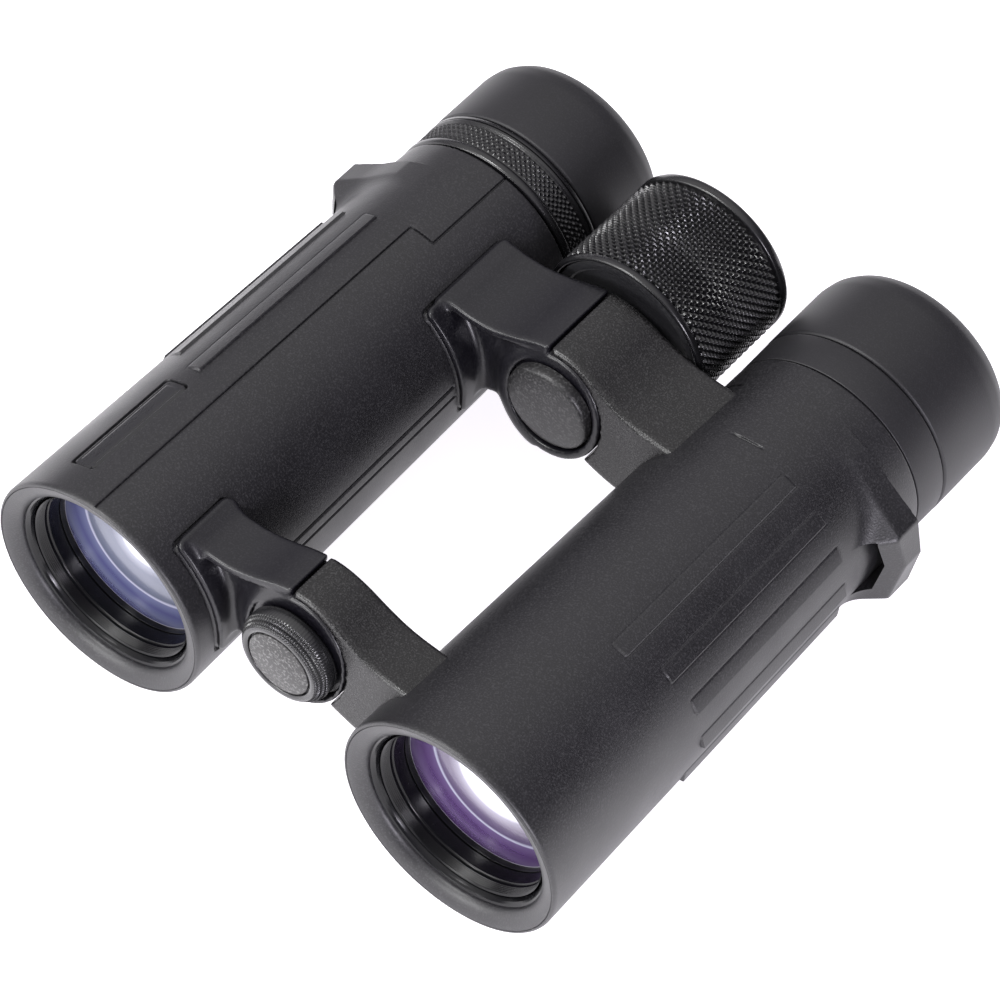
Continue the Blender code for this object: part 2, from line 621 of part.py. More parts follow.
def right_outline(tube_r, skin_r):
    """Right half: hump, saddle over the armour, foot against the tube, lower lip, knuckle."""
    edge = -(SEAM_X - RUN / 2)
    hug = skin_r + FIT
    out = skin_r + SADDLE_THICK
    cx = HALF_IPD
    top = HINGE_Z + KNUCKLE_R + HUMP
    points = [(edge, top - 0.1), (5.5, top - 0.95), (10.0, top - 2.75), (14.5, 17.0), (18.5, 17.0)]

    def on_barrel(radius, theta):
        a = math.radians(theta)
        return (cx - radius * math.sin(a), radius * math.cos(a))

    points.append(on_barrel(out, SADDLE_FROM + 6.0))
    points.append(on_barrel(out - 0.1, SADDLE_FROM + 0.7))
    points.append(on_barrel(hug + 0.3, SADDLE_FROM))
    top = math.degrees(math.acos(FOOT_TOP / hug))
    low = math.degrees(math.acos(FOOT_LOW / hug))
    for i in range(4):
        points.append(on_barrel(hug + 0.05, SADDLE_FROM + 0.4 + (top - SADDLE_FROM - 0.4) * i / 3))
    inner_top = math.degrees(math.acos(FOOT_TOP / tube_r))
    inner_low = math.degrees(math.acos(FOOT_LOW / tube_r))
    for i in range(4):
        points.append(on_barrel(tube_r + 0.1, inner_top + (inner_low - inner_top) * i / 3))
    for i in range(3):
        points.append(on_barrel(hug + 0.05, low + (SADDLE_TO - low) * i / 2))
    points.append(on_barrel(out, SADDLE_TO))
    points.append(on_barrel(out, SADDLE_TO - 8.0))
    points.append((11.6, 2.4))
    mirrored = [(-x, z) for x, z in points]
    mirrored += circle_points(FLARE_R, 218.0, 255.0, 4)
    mirrored += circle_points(KNUCKLE_R, 262.0, 360.0 + math.degrees(math.acos(-edge / KNUCKLE_R)), 10)
    return mirrored


def cylinder_tool(radius, y0, y1, seg=SEG_MID):
    return turn("tool", [(0.0, y0), (radius, y0), (radius, y1), (0.0, y1)], 0.0, HINGE_Z, seg)


def bridge_half(label, face, back, tube_r, mats):
    skin = armour_radius(face)
    outline = left_outline(tube_r) if label == "left" else right_outline(tube_r, skin)
    return prism_xz("half", outline, face, back, mats["cast"], FACE_SLOPE, HINGE_Z)


def make_front_bridge(mats):
    foot = TUBE_FRONT_R + FIT
    clear = KNUCKLE_R + FIT
    left = bridge_half("left", FRONT_FACE, FRONT_BACK, foot, mats)
    cut(left, cylinder_tool(clear, -5.0, FRONT_SPLIT + FIT / 2, SEG_BIG))
    cut(left, cylinder_tool(BUSH_BORE, 0.0, 30.0, SEG_SMALL))
    polish(left, "left_front_bridge", hinge_point(FRONT_BACK))
    right = bridge_half("right", FRONT_FACE, FRONT_BACK, foot, mats)
    cut(right, cylinder_tool(clear, FRONT_SPLIT - FIT / 2, 30.0, SEG_BIG))
    cut(right, cylinder_tool(CAP_RECESS_R, -5.0, 6.9))
    cut(right, cylinder_tool(BUSH_BORE, 0.0, 30.0, SEG_SMALL))
    polish(right, "right_front_bridge", hinge_point(FRONT_BACK))


def make_rear_bridge(mats):
    foot = TUBE_BACK_R + FIT
    clear = KNUCKLE_R + FIT
    left = bridge_half("left", REAR_FACE, REAR_BACK, foot, mats)
    cut(left, cylinder_tool(clear, 50.0, REAR_SPLIT + FIT / 2, SEG_BIG))
    cut(left, cylinder_tool(CHAMBER_R, 60.0, CHAMBER_BACK))
    cut(left, cylinder_tool(BUSH_BORE, 60.0, 100.0, SEG_SMALL))
    y0, y1 = channel_span("left")
    cut(left, along_arm("channel", 1.0, 8.0, REACH - ROD_OUT - 0.6, CHANNEL_WIDE, y0, y1))
    polish(left, "left_rear_bridge", hinge_point(REAR_BACK))
    right = bridge_half("right", REAR_FACE, REAR_BACK, foot, mats)
    cut(right, cylinder_tool(clear, REAR_SPLIT - FIT / 2, 100.0, SEG_BIG))
    cut(right, cylinder_tool(REAR_CAP_R + FIT, 50.0, 71.3))
    cut(right, cylinder_tool(CHAMBER_R, CHAMBER_FRONT, 90.0))
    cut(right, cylinder_tool(BUSH_BORE, 60.0, 100.0, SEG_SMALL))
    y0, y1 = channel_span("right")
    cut(right, along_arm("channel", -1.0, 4.0, REACH - ROD_OUT - 0.6, CHANNEL_WIDE, y0, y1))
    y0, y1 = channel_span("left")
    half = math.degrees(math.asin(CHANNEL_WIDE / 2 / CHAMBER_R))
    low, high = -ARM_TILT - half - FOLD_IN, half - ARM_TILT + FOLD_OUT + 1.0
    sweep = [(0.0, HINGE_Z)] + circle_points(KNUCKLE_R + 5.0, low, high, 6)
    cut(right, prism_xz("sweep", sweep, y0, y1))
    polish(right, "right_rear_bridge", hinge_point(REAR_BACK))


# ---- hinge and focus pieces ----------------------------------------------------------------
def make_hinge(mats):
    at = hinge_point(10.0)
    axle = turn("axle", [(0.0, 16.9), (BUSH_R, 16.9), (BUSH_R, 7.3), (3.2, 7.3), (3.2, 15.0), (0.0, 15.0)],
                0.0, HINGE_Z, SEG_SMALL, mats["steel"])
    polish(axle, "front_axle", at)
    cap = turn("axle_cap", [(0.0, 17.5), (7.0, 17.5), (7.0, 18.4), (6.6, 18.8), (0.0, 18.8)],
               0.0, HINGE_Z, SEG_MID, mats["ring"])
    polish(cap, "front_axle_cap", at)
    rim = CAP_RECESS_R - 2 * FIT
    knob = turn("knob", [(0.0, 3.0), (rim - 2.3, 3.0), (rim - 2.3, 2.0), (rim - 1.2, 2.0), (rim, 3.9),
                         (rim, 5.9), (rim - 0.4, 6.6), (2.9, 6.6), (2.9, 13.5), (0.0, 13.5)],
                0.0, HINGE_Z, SEG_MID, mats["ring"])
    polish(knob, "front_screw_cap", at)
    face = rim - 2.3 - FIT
    disc = turn("disc", [(0.0, 1.9), (face - 0.3, 1.9), (face, 2.2), (face, 2.7), (0.0, 2.7)],
                0.0, HINGE_Z, SEG_BIG, mats["plastic"])
    polish(disc, "front_cap_disc", at)
    cap = turn("rear_cap", [(0.0, 68.5), (REAR_CAP_R - 0.5, 68.6), (REAR_CAP_R, 69.1), (REAR_CAP_R, 71.0),
                            (0.0, 71.0)], 0.0, HINGE_Z, SEG_BIG, mats["cast"])
    polish(cap, "rear_hinge_cap", at)
    bore = SPINDLE_R + FIT
    bush = turn("bush", [(bore, 71.5), (BUSH_R, 71.5), (BUSH_R, 73.0), (bore, 73.0)],
                0.0, HINGE_Z, SEG_SMALL, mats["brass"])
    polish(bush, "rear_bush_front", at)
    bush = turn("bush", [(bore, 83.2), (BUSH_R, 83.2), (BUSH_R, 88.3), (7.6, 88.3), (7.6, 89.0), (bore, 89.0)],
                0.0, HINGE_Z, SEG_SMALL, mats["brass"])
    polish(bush, "rear_bush_back", at)


def make_focus(mats):
    at = hinge_point(100.0)
    spindle = turn("spindle", [(0.0, 71.6), (SPINDLE_R - 0.4, 71.6), (SPINDLE_R, 72.0), (SPINDLE_R, 108.2),
                               (0.0, 108.2)], 0.0, HINGE_Z, SEG_SMALL, mats["steel"])
    polish(spindle, "focus_spindle", at)
    bore = SPINDLE_R + FIT
    front = eye_span("left")[0] - FIT
    back = eye_span("right")[1] + FIT
    hub = EYE_BORE - FIT
    slider = turn("slider", [(bore, front - 1.1), (EYE_R, front - 1.1), (EYE_R, front), (hub, front),
                             (hub, back), (EYE_R, back), (EYE_R, back + 1.1), (bore, back + 1.1)],
                  0.0, HINGE_Z, SEG_SMALL, mats["brass"])
    polish(slider, "focus_slider", at)
    wall = DRUM_R - 1.4
    core = turn("core", [(bore, 90.0), (DRUM_R, 90.0), (DRUM_R, WHEEL_END - 2.0), (wall, WHEEL_END - 2.0), (wall, 93.0),
                         (5.2, 93.0), (5.2, 108.4), (bore, 108.4)], 0.0, HINGE_Z, SEG_MID, mats["plastic"])
    polish(core, "focus_wheel_core", at)
    grip_in = DRUM_R + FIT
    grip = turn("grip", [(grip_in, WHEEL_START), (WHEEL_FLANGE_R - 0.4, WHEEL_START),
                         (WHEEL_FLANGE_R, WHEEL_START + 0.4), (WHEEL_FLANGE_R, WHEEL_START + 1.2),
                         (WHEEL_R, WHEEL_START + 1.6), (WHEEL_R, WHEEL_END - 1.4), (WHEEL_R - 0.6, WHEEL_END),
                         (grip_in, WHEEL_END - 0.3)], 0.0, HINGE_Z, SEG_BIG, mats["wheel"])
    polish(grip, "focus_wheel_grip", at)
    back = WHEEL_END + 0.4
    cap = turn("end_cap", [(0.0, back - 2.1), (DRUM_R, back - 2.1), (DRUM_R, back - 0.6), (DRUM_R - 0.6, back),
                           (0.0, back)], 0.0, HINGE_Z, SEG_BIG, mats["cast"])
    polish(cap, "focus_wheel_end_cap", at)


def build():
    clear_scene()
    mats = make_materials()
    for label in SIDES:
        make_armour(label, mats)
        make_tube(label, mats)
        make_objective(label, mats)
        make_carriage(label, mats)
        make_prisms(label, mats)
        make_eyepiece(label, mats)
        make_eyecup(label, mats)
    make_badge(mats)
    make_rear_rings(mats)
    make_front_bridge(mats)
    make_rear_bridge(mats)
    make_hinge(mats)
    make_focus(mats)


build()
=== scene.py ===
"""Looks for the binoculars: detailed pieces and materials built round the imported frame.

Pieces are drawn in millimetres as (x, y, z): x across from the middle plane, y back from the front rims, z up
from the barrel axes. to_row() turns that into the frame's metres. The left barrel is at +HALF, the right one at
-HALF. A turned piece is an outline of (radius, y) points.
"""
import json
import math

import bmesh
import bpy
import numpy as np
from mathutils import Matrix, Vector


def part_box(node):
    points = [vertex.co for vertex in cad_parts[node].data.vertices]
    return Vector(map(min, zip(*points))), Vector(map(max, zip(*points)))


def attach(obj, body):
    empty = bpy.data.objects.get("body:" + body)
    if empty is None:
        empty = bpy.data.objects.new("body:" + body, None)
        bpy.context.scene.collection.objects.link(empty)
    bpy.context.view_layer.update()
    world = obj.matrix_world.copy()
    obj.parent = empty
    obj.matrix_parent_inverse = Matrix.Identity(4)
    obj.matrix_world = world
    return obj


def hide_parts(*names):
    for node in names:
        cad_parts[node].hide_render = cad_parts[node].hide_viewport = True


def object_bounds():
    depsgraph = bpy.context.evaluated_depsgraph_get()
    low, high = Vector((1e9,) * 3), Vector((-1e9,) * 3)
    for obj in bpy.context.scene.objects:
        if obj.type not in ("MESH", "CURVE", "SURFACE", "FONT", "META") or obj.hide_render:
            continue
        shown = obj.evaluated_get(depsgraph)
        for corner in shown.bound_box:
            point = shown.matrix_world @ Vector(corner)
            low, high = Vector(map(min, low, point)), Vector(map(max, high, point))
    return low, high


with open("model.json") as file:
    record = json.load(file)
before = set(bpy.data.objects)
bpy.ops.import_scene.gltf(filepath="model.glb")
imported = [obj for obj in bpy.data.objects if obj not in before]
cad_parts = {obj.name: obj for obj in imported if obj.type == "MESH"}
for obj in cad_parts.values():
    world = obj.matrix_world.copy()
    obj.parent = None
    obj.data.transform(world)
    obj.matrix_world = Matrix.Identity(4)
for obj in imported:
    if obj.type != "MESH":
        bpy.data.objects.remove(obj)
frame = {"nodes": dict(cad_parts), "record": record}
CAD_BOX = [list(v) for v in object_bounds()]

MM = 0.001


def middle(node):
    lo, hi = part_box(node)
    return (lo + hi) / 2


FRONT = CAD_BOX[0][1]                      # plane of the front rims
AXIS_Z = middle("left_eyecup").z           # height of the barrel axes
HALF = middle("left_eyecup").x / MM        # barrel axis to the middle plane, mm
HINGE = (middle("focus_wheel_grip").z - AXIS_Z) / MM
LENGTH = (CAD_BOX[1][1] - CAD_BOX[0][1]) / MM
SIDES = {"left": 1.0, "right": -1.0}
BODY = {"left": "left_barrel", "right": "right_barrel"}


# ---------------------------------------------------------------- mesh helpers
def to_row(points):
    """Millimetres from the front rims and barrel axes to metres in the row frame."""
    p = np.asarray(points, float).reshape(-1, 3)
    out = p * MM
    out[:, 1] += FRONT
    out[:, 2] += AXIS_Z
    return out


def add_object(name, data):
    obj = bpy.data.objects.new(name, data)
    bpy.context.scene.collection.objects.link(obj)
    return obj


def outward(me, weld=False):
    """Turns the faces of a closed mesh outwards; weld first joins points that coincide."""
    bm = bmesh.new()
    bm.from_mesh(me)
    if weld:
        bmesh.ops.remove_doubles(bm, verts=bm.verts, dist=1e-6)
        bmesh.ops.dissolve_degenerate(bm, dist=1e-7, edges=bm.edges)
    bmesh.ops.recalc_face_normals(bm, faces=bm.faces)
    bm.to_mesh(me)
    bm.free()


def make_mesh(name, verts, faces, mat, body, replaces, sharp=40.0):
    """One visible piece: it rides on a body, stands in for CAD nodes and has a material slot."""
    me = bpy.data.meshes.new(name)
    me.from_pydata(to_row(verts).tolist(), [], [tuple(f) for f in faces])
    me.validate()
    outward(me, weld=True)
    obj = add_object(name, me)
    me.materials.append(mat)
    me.shade_smooth()
    me.set_sharp_from_angle(angle=math.radians(sharp))
    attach(obj, body)
    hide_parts(*replaces)
    return obj


def grid_faces(nu, nv, wrap_u, wrap_v):
    """Quads of an nu by nv grid of points, closed in either direction."""
    iu = np.arange(nu if wrap_u else nu - 1)
    iv = np.arange(nv if wrap_v else nv - 1)
    a, b = np.meshgrid(iu, iv, indexing="ij")
    a2, b2 = (a + 1) % nu, (b + 1) % nv
    q = np.stack([a * nv + b, a2 * nv + b, a2 * nv + b2, a * nv + b2], -1)
    return q.reshape(-1, 4).tolist()


def soften(profile, radius, steps=4, closed=True):
    """Rounds the corners of an (r, y) outline. radius is one number or one per corner."""
    pts = [np.array(p, float) for p in profile]
    n = len(pts)
    rs = [radius] * n if np.isscalar(radius) else list(radius)
    out = []
    for i in range(n):
        p = pts[i]
        if not closed and i in (0, n - 1) or rs[i] <= 0:
            out.append(p)
            continue
        a, b = pts[i - 1] - p, pts[(i + 1) % n] - p
        la, lb = np.linalg.norm(a), np.linalg.norm(b)
        a, b = a / la, b / lb
        ang = math.acos(max(-1.0, min(1.0, float(a @ b))))
        if ang > math.pi - 0.05:
            out.append(p)
            continue
        cutback = min(rs[i] / math.tan(ang / 2), 0.45 * la, 0.45 * lb)
        r = cutback * math.tan(ang / 2)
        mid = (a + b) / np.linalg.norm(a + b)
        c = p + mid * (r / math.sin(ang / 2))
        s, e = p + a * cutback - c, p + b * cutback - c
        sweep = math.acos(max(-1.0, min(1.0, float(s @ e) / (r * r))))
        k = max(2, int(math.ceil(steps * sweep / (math.pi / 2))))
        for t in range(k + 1):
            f = t / k
            w0, w1 = math.sin((1 - f) * sweep), math.sin(f * sweep)
            v = (s * w0 + e * w1) / math.sin(sweep)
            out.append(c + v)
    return out


def turn(name, profile, centre, seg, mat, body, replaces, radius=0.0, closed=True, bump=None, sharp=40.0):
    """Turned piece round an axis at centre (x, z). closed: an (r, y) loop; open: a chain that starts and ends on
    the axis. radius rounds the corners; None leaves the outline as drawn."""
    prof = soften(profile, radius, closed=closed) if radius is not None else [np.array(p, float) for p in profile]
    r = np.array([p[0] for p in prof])
    y = np.array([p[1] for p in prof])
    a = np.arange(seg) * 2 * math.pi / seg
    rr = np.broadcast_to(r, (seg, len(r))).copy()
    yy = np.broadcast_to(y, (seg, len(y)))
    if bump is not None:
        rr = bump(a[:, None], yy, rr)
    x = centre[0] + rr * np.sin(a)[:, None]
    z = centre[1] + rr * np.cos(a)[:, None]
    verts = np.stack([x, yy, z], -1).reshape(-1, 3)
    faces = grid_faces(seg, len(r), True, closed)
    return make_mesh(name, verts, faces, mat, body, replaces, sharp)


def marks(lo, hi, step, spots=()):
    """Grid lines from lo to hi, about step apart, closer round each (place, reach, step)."""
    out = set(np.round(np.linspace(lo, hi, int(round((hi - lo) / step)) + 1), 4))
    for place, reach, fine in spots:
        n = int(round(2 * reach / fine))
        for v in np.linspace(place - reach, place + reach, n + 1):
            if lo < v < hi:
                out.add(round(float(v), 4))
    out = sorted(out)
    keep = [out[0]]
    for v in out[1:]:
        if v - keep[-1] > 0.02 or v == out[-1]:
            keep.append(v)
    return np.array(keep)


def smooth01(t):
    t = np.clip(t, 0, 1)
    return t * t * (3 - 2 * t)


def groove(dist, deep, half, soft):
    """Depth of a cut line, from the distance to it: full within half, gone after another soft."""
    return deep * (1 - smooth01((dist - half) / soft))


def smax(a, b, k):
    """Larger of two fields, blended over k."""
    h = np.clip(0.5 + 0.5 * (a - b) / k, 0, 1)
    return b + (a - b) * h + k * h * (1 - h)


def smin(a, b, k):
    return -smax(-a, -b, k)


def round_rect(u, v, u0, u1, v0, v1, r):
    """Signed distance to a rounded rectangle, negative inside."""
    cu, cv = (u0 + u1) / 2, (v0 + v1) / 2
    qu = np.abs(u - cu) - (u1 - u0) / 2 + r
    qv = np.abs(v - cv) - (v1 - v0) / 2 + r
    return np.hypot(np.maximum(qu, 0), np.maximum(qv, 0)) + np.minimum(np.maximum(qu, qv), 0) - r


def seg_dist(u, v, p, q):
    """Distance from (u, v) to the straight line between p and q."""
    pu, pv = p
    du, dv = q[0] - pu, q[1] - pv
    t = np.clip(((u - pu) * du + (v - pv) * dv) / (du * du + dv * dv), 0, 1)
    return np.hypot(u - pu - t * du, v - pv - t * dv)


# ---------------------------------------------------------------- materials
def shader(name, colour, rough, metal=0.0, coat=0.0, coat_rough=0.1, spec=0.5, sheen=0.0):
    mat = bpy.data.materials.new(name)
    mat.use_nodes = True
    nt = mat.node_tree
    bsdf = nt.nodes["Principled BSDF"]
    bsdf.inputs["Base Color"].default_value = (*colour, 1)
    bsdf.inputs["Roughness"].default_value = rough
    bsdf.inputs["Metallic"].default_value = metal
    bsdf.inputs["Coat Weight"].default_value = coat
    bsdf.inputs["Coat Roughness"].default_value = coat_rough
    bsdf.inputs["Specular IOR Level"].default_value = spec
    bsdf.inputs["Sheen Weight"].default_value = sheen
    return mat, nt, bsdf


def mix_colours(nt, share, first, second):
    """Mix of two colours by a socket; each is a colour or a socket."""
    node = nt.nodes.new("ShaderNodeMix")
    node.data_type = "RGBA"
    nt.links.new(share, node.inputs[0])
    for socket, colour in ((node.inputs[6], first), (node.inputs[7], second)):
        if isinstance(colour, tuple):
            socket.default_value = (*colour, 1)
        else:
            nt.links.new(colour, socket)
    return node.outputs[2]


def map_range(nt, value, source, target, kind="LINEAR"):
    node = nt.nodes.new("ShaderNodeMapRange")
    node.interpolation_type = kind
    nt.links.new(value, node.inputs["Value"])
    for label, number in zip(("From Min", "From Max", "To Min", "To Max"), (*source, *target)):
        node.inputs[label].default_value = number
    return node.outputs["Result"]


def colour_ramp(nt, value, stops):
    """Colours along a value from 0 to 1; stops are (value, colour)."""
    ramp = nt.nodes.new("ShaderNodeValToRGB")
    nt.links.new(value, ramp.inputs["Fac"])
    line = ramp.color_ramp
    while len(line.elements) < len(stops):
        line.elements.new(0.5)
    for e, (v, _colour) in zip(line.elements, stops):
        e.position = v
    for e, (_v, colour) in zip(line.elements, stops):
        e.color = (*colour, 1)
    return ramp.outputs["Color"]


def noise(nt, place, size, detail):
    """Noise whose features are about size mm across."""
    node = nt.nodes.new("ShaderNodeTexNoise")
    node.inputs["Scale"].default_value = 1.0 / (size * MM)
    node.inputs["Detail"].default_value = detail
    nt.links.new(place, node.inputs["Vector"])
    return node.outputs["Fac"]


BLACK, WHITE = (0, 0, 0), (1, 1, 1)
BLOTCH_SHARE = 0.55                        # how much of the mottling comes from the large blotches
GRAIN_SCALE = 2.2                          # noise cell over the grain it shows


def surface(name, dark, light, rough, rough_spread=0.08, grain=0.12, depth=0.02, blotch=9.0, metal=0.0,
            coat=0.0, spec=0.5, sheen=0.0, speck=0.0, stretch=(1, 1, 1)):
    """Mottled colour, uneven roughness and a fine raised grain. grain, depth and blotch in mm."""
    mat, nt, bsdf = shader(name, dark, rough, metal, coat, 0.12, spec, sheen)
    n, link = nt.nodes, nt.links
    co = n.new("ShaderNodeTexCoord")
    mp = n.new("ShaderNodeMapping")
    mp.inputs["Scale"].default_value = stretch
    link.new(co.outputs["Object"], mp.inputs["Vector"])
    place = mp.outputs["Vector"]
    height = noise(nt, place, grain * GRAIN_SCALE, 2.0)
    part = n.new("ShaderNodeMath")
    part.operation = "MULTIPLY"
    part.inputs[1].default_value = 1.0 - BLOTCH_SHARE
    link.new(height, part.inputs[0])
    mottle = n.new("ShaderNodeMath")
    mottle.operation = "MULTIPLY_ADD"
    mottle.inputs[1].default_value = BLOTCH_SHARE
    link.new(noise(nt, place, blotch, 4.0), mottle.inputs[0])
    link.new(part.outputs[0], mottle.inputs[2])
    tone = colour_ramp(nt, mottle.outputs[0], [(0.30, dark), (0.72, light)])
    if speck > 0:
        dots = noise(nt, place, grain * GRAIN_SCALE, 1.0)
        bright = tuple(min(1.0, c + speck) for c in light)
        tone = mix_colours(nt, colour_ramp(nt, dots, [(0.50, BLACK), (0.74, WHITE)]), tone, bright)
    link.new(tone, bsdf.inputs["Base Color"])
    spread = (max(0.02, rough - rough_spread), min(1.0, rough + rough_spread))
    link.new(map_range(nt, mottle.outputs[0], (0.3, 0.7), spread), bsdf.inputs["Roughness"])
    bump = n.new("ShaderNodeBump")
    bump.inputs["Strength"].default_value = 1.0
    bump.inputs["Distance"].default_value = depth * MM
    link.new(height, bump.inputs["Height"])
    link.new(bump.outputs["Normal"], bsdf.inputs["Normal"])
    return mat


def ring_distance(nt, centre):
    """Distance in mm from a point (x, z) in the plane across the barrel."""
    n, link = nt.nodes, nt.links
    co = n.new("ShaderNodeTexCoord")
    mp = n.new("ShaderNodeMapping")
    mp.inputs["Location"].default_value = (-centre[0], 0.0, -(centre[1] + AXIS_Z / MM))
    mp.inputs["Scale"].default_value = (1.0 / MM, 0.0, 1.0 / MM)
    size = n.new("ShaderNodeVectorMath")
    size.operation = "LENGTH"
    link.new(co.outputs["Object"], mp.inputs["Vector"])
    link.new(mp.outputs["Vector"], size.inputs[0])
    return size.outputs["Value"]


def steps(nt, value, lo, hi, stops):
    """Colour bands of a value between lo and hi; stops are (value, colour)."""
    share = map_range(nt, value, (lo, hi), (0.0, 1.0))
    return colour_ramp(nt, share, [((v - lo) / (hi - lo), colour) for v, colour in stops])


def coated_lens(name, side, tint, deep, pale, pale_r):
    """Dark coated glass in the coating's own tint, with painted reflections fixed to the glass itself: curved arcs
    of painted reflection, a painted white glare and a painted glint round the edge. pale and pale_r place the
    painted white glare, from the barrel axis."""
    mat, nt, bsdf = shader(name, deep, 0.14, 0.0, 0.25, 0.04, 0.4)
    cx = side * HALF
    mid = tuple(0.5 * (a + b) for a, b in zip(tint, deep))
    # the coating's tint, darker outwards, then painted reflection arcs: two pale grey rings and bands of lighter
    # and darker tint, round a centre set off the axis
    tint_and_painted_arcs = steps(nt, ring_distance(nt, (cx + 4.3, 8.2)), 0.0, 30.0, [
        (4.0, tuple(0.75 * c for c in tint)), (13.9, tuple(0.55 * c for c in tint)), (14.35, (0.30, 0.30, 0.38)),
        (14.6, (0.34, 0.34, 0.44)), (14.9, mid), (17.6, deep), (20.5, mid), (23.0, deep)])
    # painted white glare: a studio reflection painted into the colour, round the point that pale gives
    glow = steps(nt, ring_distance(nt, (cx + pale[0], pale[1])), 0.0, pale_r + 4.0, [
        (0.0, WHITE), (pale_r - 1.0, (0.85, 0.85, 0.85)), (pale_r + 0.2, (0.2, 0.2, 0.2)), (pale_r + 2.2, BLACK)])
    # the coating's tint and painted arcs, with the painted white glare laid over them
    glass = mix_colours(nt, glow, tint_and_painted_arcs, (0.86, 0.87, 0.95))
    # painted glint: a pale ring painted on the lens's outer edge, measured from the barrel axis
    painted_edge_glint = steps(nt, ring_distance(nt, (cx, 0.0)), 14.0, 15.4, [
        (14.0, BLACK), (14.92, BLACK), (15.02, (0.8, 0.8, 0.8)), (15.4, WHITE)])
    nt.links.new(mix_colours(nt, painted_edge_glint, glass, (0.34, 0.33, 0.38)), bsdf.inputs["Base Color"])
    return mat


# dark and light colour, roughness and its spread, grain, bump depth and blotch size in mm, then the gloss
RUBBER = surface("armour_rubber", (0.0018, 0.0016, 0.0026), (0.0062, 0.0056, 0.0080), 0.44, 0.09, 0.14, 0.032,
                 14.0, spec=0.62, sheen=0.02, speck=0.016)
CUP = surface("eyecup_rubber", (0.0028, 0.0025, 0.0040), (0.0064, 0.0058, 0.0082), 0.52, 0.05, 0.12, 0.012, 16.0,
              spec=0.56, sheen=0.03, speck=0.006)
SATIN_CAST = surface("satin_casting", (0.0020, 0.0018, 0.0034), (0.0050, 0.0045, 0.0074), 0.35, 0.07, 0.13, 0.014,
                     12.0, coat=0.03, spec=0.46, speck=0.008)
CAST = surface("painted_casting", (0.0020, 0.0018, 0.0022), (0.0060, 0.0055, 0.0058), 0.31, 0.12, 0.12, 0.055, 10.0,
               coat=0.03, spec=0.46, speck=0.030)
GLOSS_TUBE = surface("gloss_tube", (0.0030, 0.0030, 0.0036), (0.0060, 0.0060, 0.0070), 0.20, 0.05, 0.30, 0.0, 8.0,
                     spec=0.26)
WHEEL = surface("wheel_rubber", (0.0026, 0.0026, 0.0032), (0.0062, 0.0060, 0.0070), 0.28, 0.06, 0.10, 0.004, 8.0,
                spec=0.66)
RING = surface("black_ring", (0.0016, 0.0016, 0.0022), (0.0030, 0.0030, 0.0038), 0.24, 0.05, 0.40, 0.0, 6.0,
               spec=0.22)
RING_SATIN = surface("satin_ring", (0.0080, 0.0080, 0.0088), (0.0160, 0.0160, 0.0172), 0.28, 0.06, 0.08, 0.004, 5.0,
                     coat=0.15)
TUBE = surface("black_tube", (0.0050, 0.0050, 0.0056), (0.0100, 0.0100, 0.0112), 0.38, 0.08, 0.08, 0.004, 8.0)
PLASTIC = surface("black_plastic", (0.0090, 0.0090, 0.0100), (0.0170, 0.0170, 0.0190), 0.40, 0.07, 0.14, 0.010, 9.0,
                  speck=0.01)
DISC = surface("cap_disc", (0.014, 0.0135, 0.0135), (0.034, 0.033, 0.032), 0.50, 0.09, 0.20, 0.030, 8.0, speck=0.10)
HUB = surface("cap_dome", (0.0060, 0.0058, 0.0064), (0.0150, 0.0144, 0.0150), 0.42, 0.09, 0.20, 0.030, 9.0,
              speck=0.04)
STEEL = surface("turned_steel", (0.45, 0.45, 0.46), (0.60, 0.60, 0.61), 0.28, 0.08, 0.05, 0.002, 3.0, metal=1.0,
                stretch=(1, 12, 1))
BRASS = surface("turned_brass", (0.50, 0.37, 0.16), (0.66, 0.50, 0.24), 0.32, 0.08, 0.05, 0.002, 3.0, metal=1.0,
                stretch=(1, 12, 1))
BADGE = surface("blank_inlay", (0.0060, 0.0060, 0.0070), (0.0110, 0.0110, 0.0125), 0.30, 0.06, 0.10, 0.004, 6.0,
                coat=0.2, stretch=(1, 0.1, 1))
# each lens's last two arguments place its painted white glare; its two tints also colour the painted reflection
# arcs
LENS_L = coated_lens("coated_lens_a", 1.0, (0.14, 0.105, 0.20), (0.058, 0.030, 0.100), (4.4, 8.8), 9.6)
LENS_R = coated_lens("coated_lens_b", -1.0, (0.15, 0.165, 0.24), (0.055, 0.058, 0.140), (3.6, 7.4), 5.6)
EYE_GLASS = surface("eye_glass", (0.012, 0.020, 0.018), (0.020, 0.034, 0.030), 0.04, 0.01, 0.5, 0.0005, 12.0,
                    coat=1.0, spec=0.6)
GLASS = surface("prism_glass", (0.50, 0.58, 0.60), (0.62, 0.70, 0.72), 0.06, 0.02, 0.5, 0.001, 20.0, coat=1.0)

FROM_SLOT = {
    "armour_rubber": RUBBER, "eyecup_rubber": CUP, "painted_casting": CAST, "black_tube": TUBE,
    "black_ring": RING, "wheel_rubber": WHEEL, "plain_steel": STEEL, "plain_brass": BRASS,
    "black_plastic": PLASTIC, "coated_glass": LENS_L, "clear_glass": GLASS, "badge_plate": BADGE,
}


def paint_cad_nodes():
    """Materials for the CAD nodes that stay visible."""
    slots = {p["node"]: p["material_slot"] for p in frame["record"]["subparts"]}
    for node, obj in frame["nodes"].items():
        obj.data.materials.clear()
        obj.data.materials.append(FROM_SLOT[slots[node]])


# ---------------------------------------------------------------- armour
RIM_R, TAIL_R, ARMOUR_END = 21.1, 19.0, 97.3
SKIN_END = ARMOUR_END - 0.35               # last row of the outer skin, before the back edge rounds off
LUG_BACK = 91.8
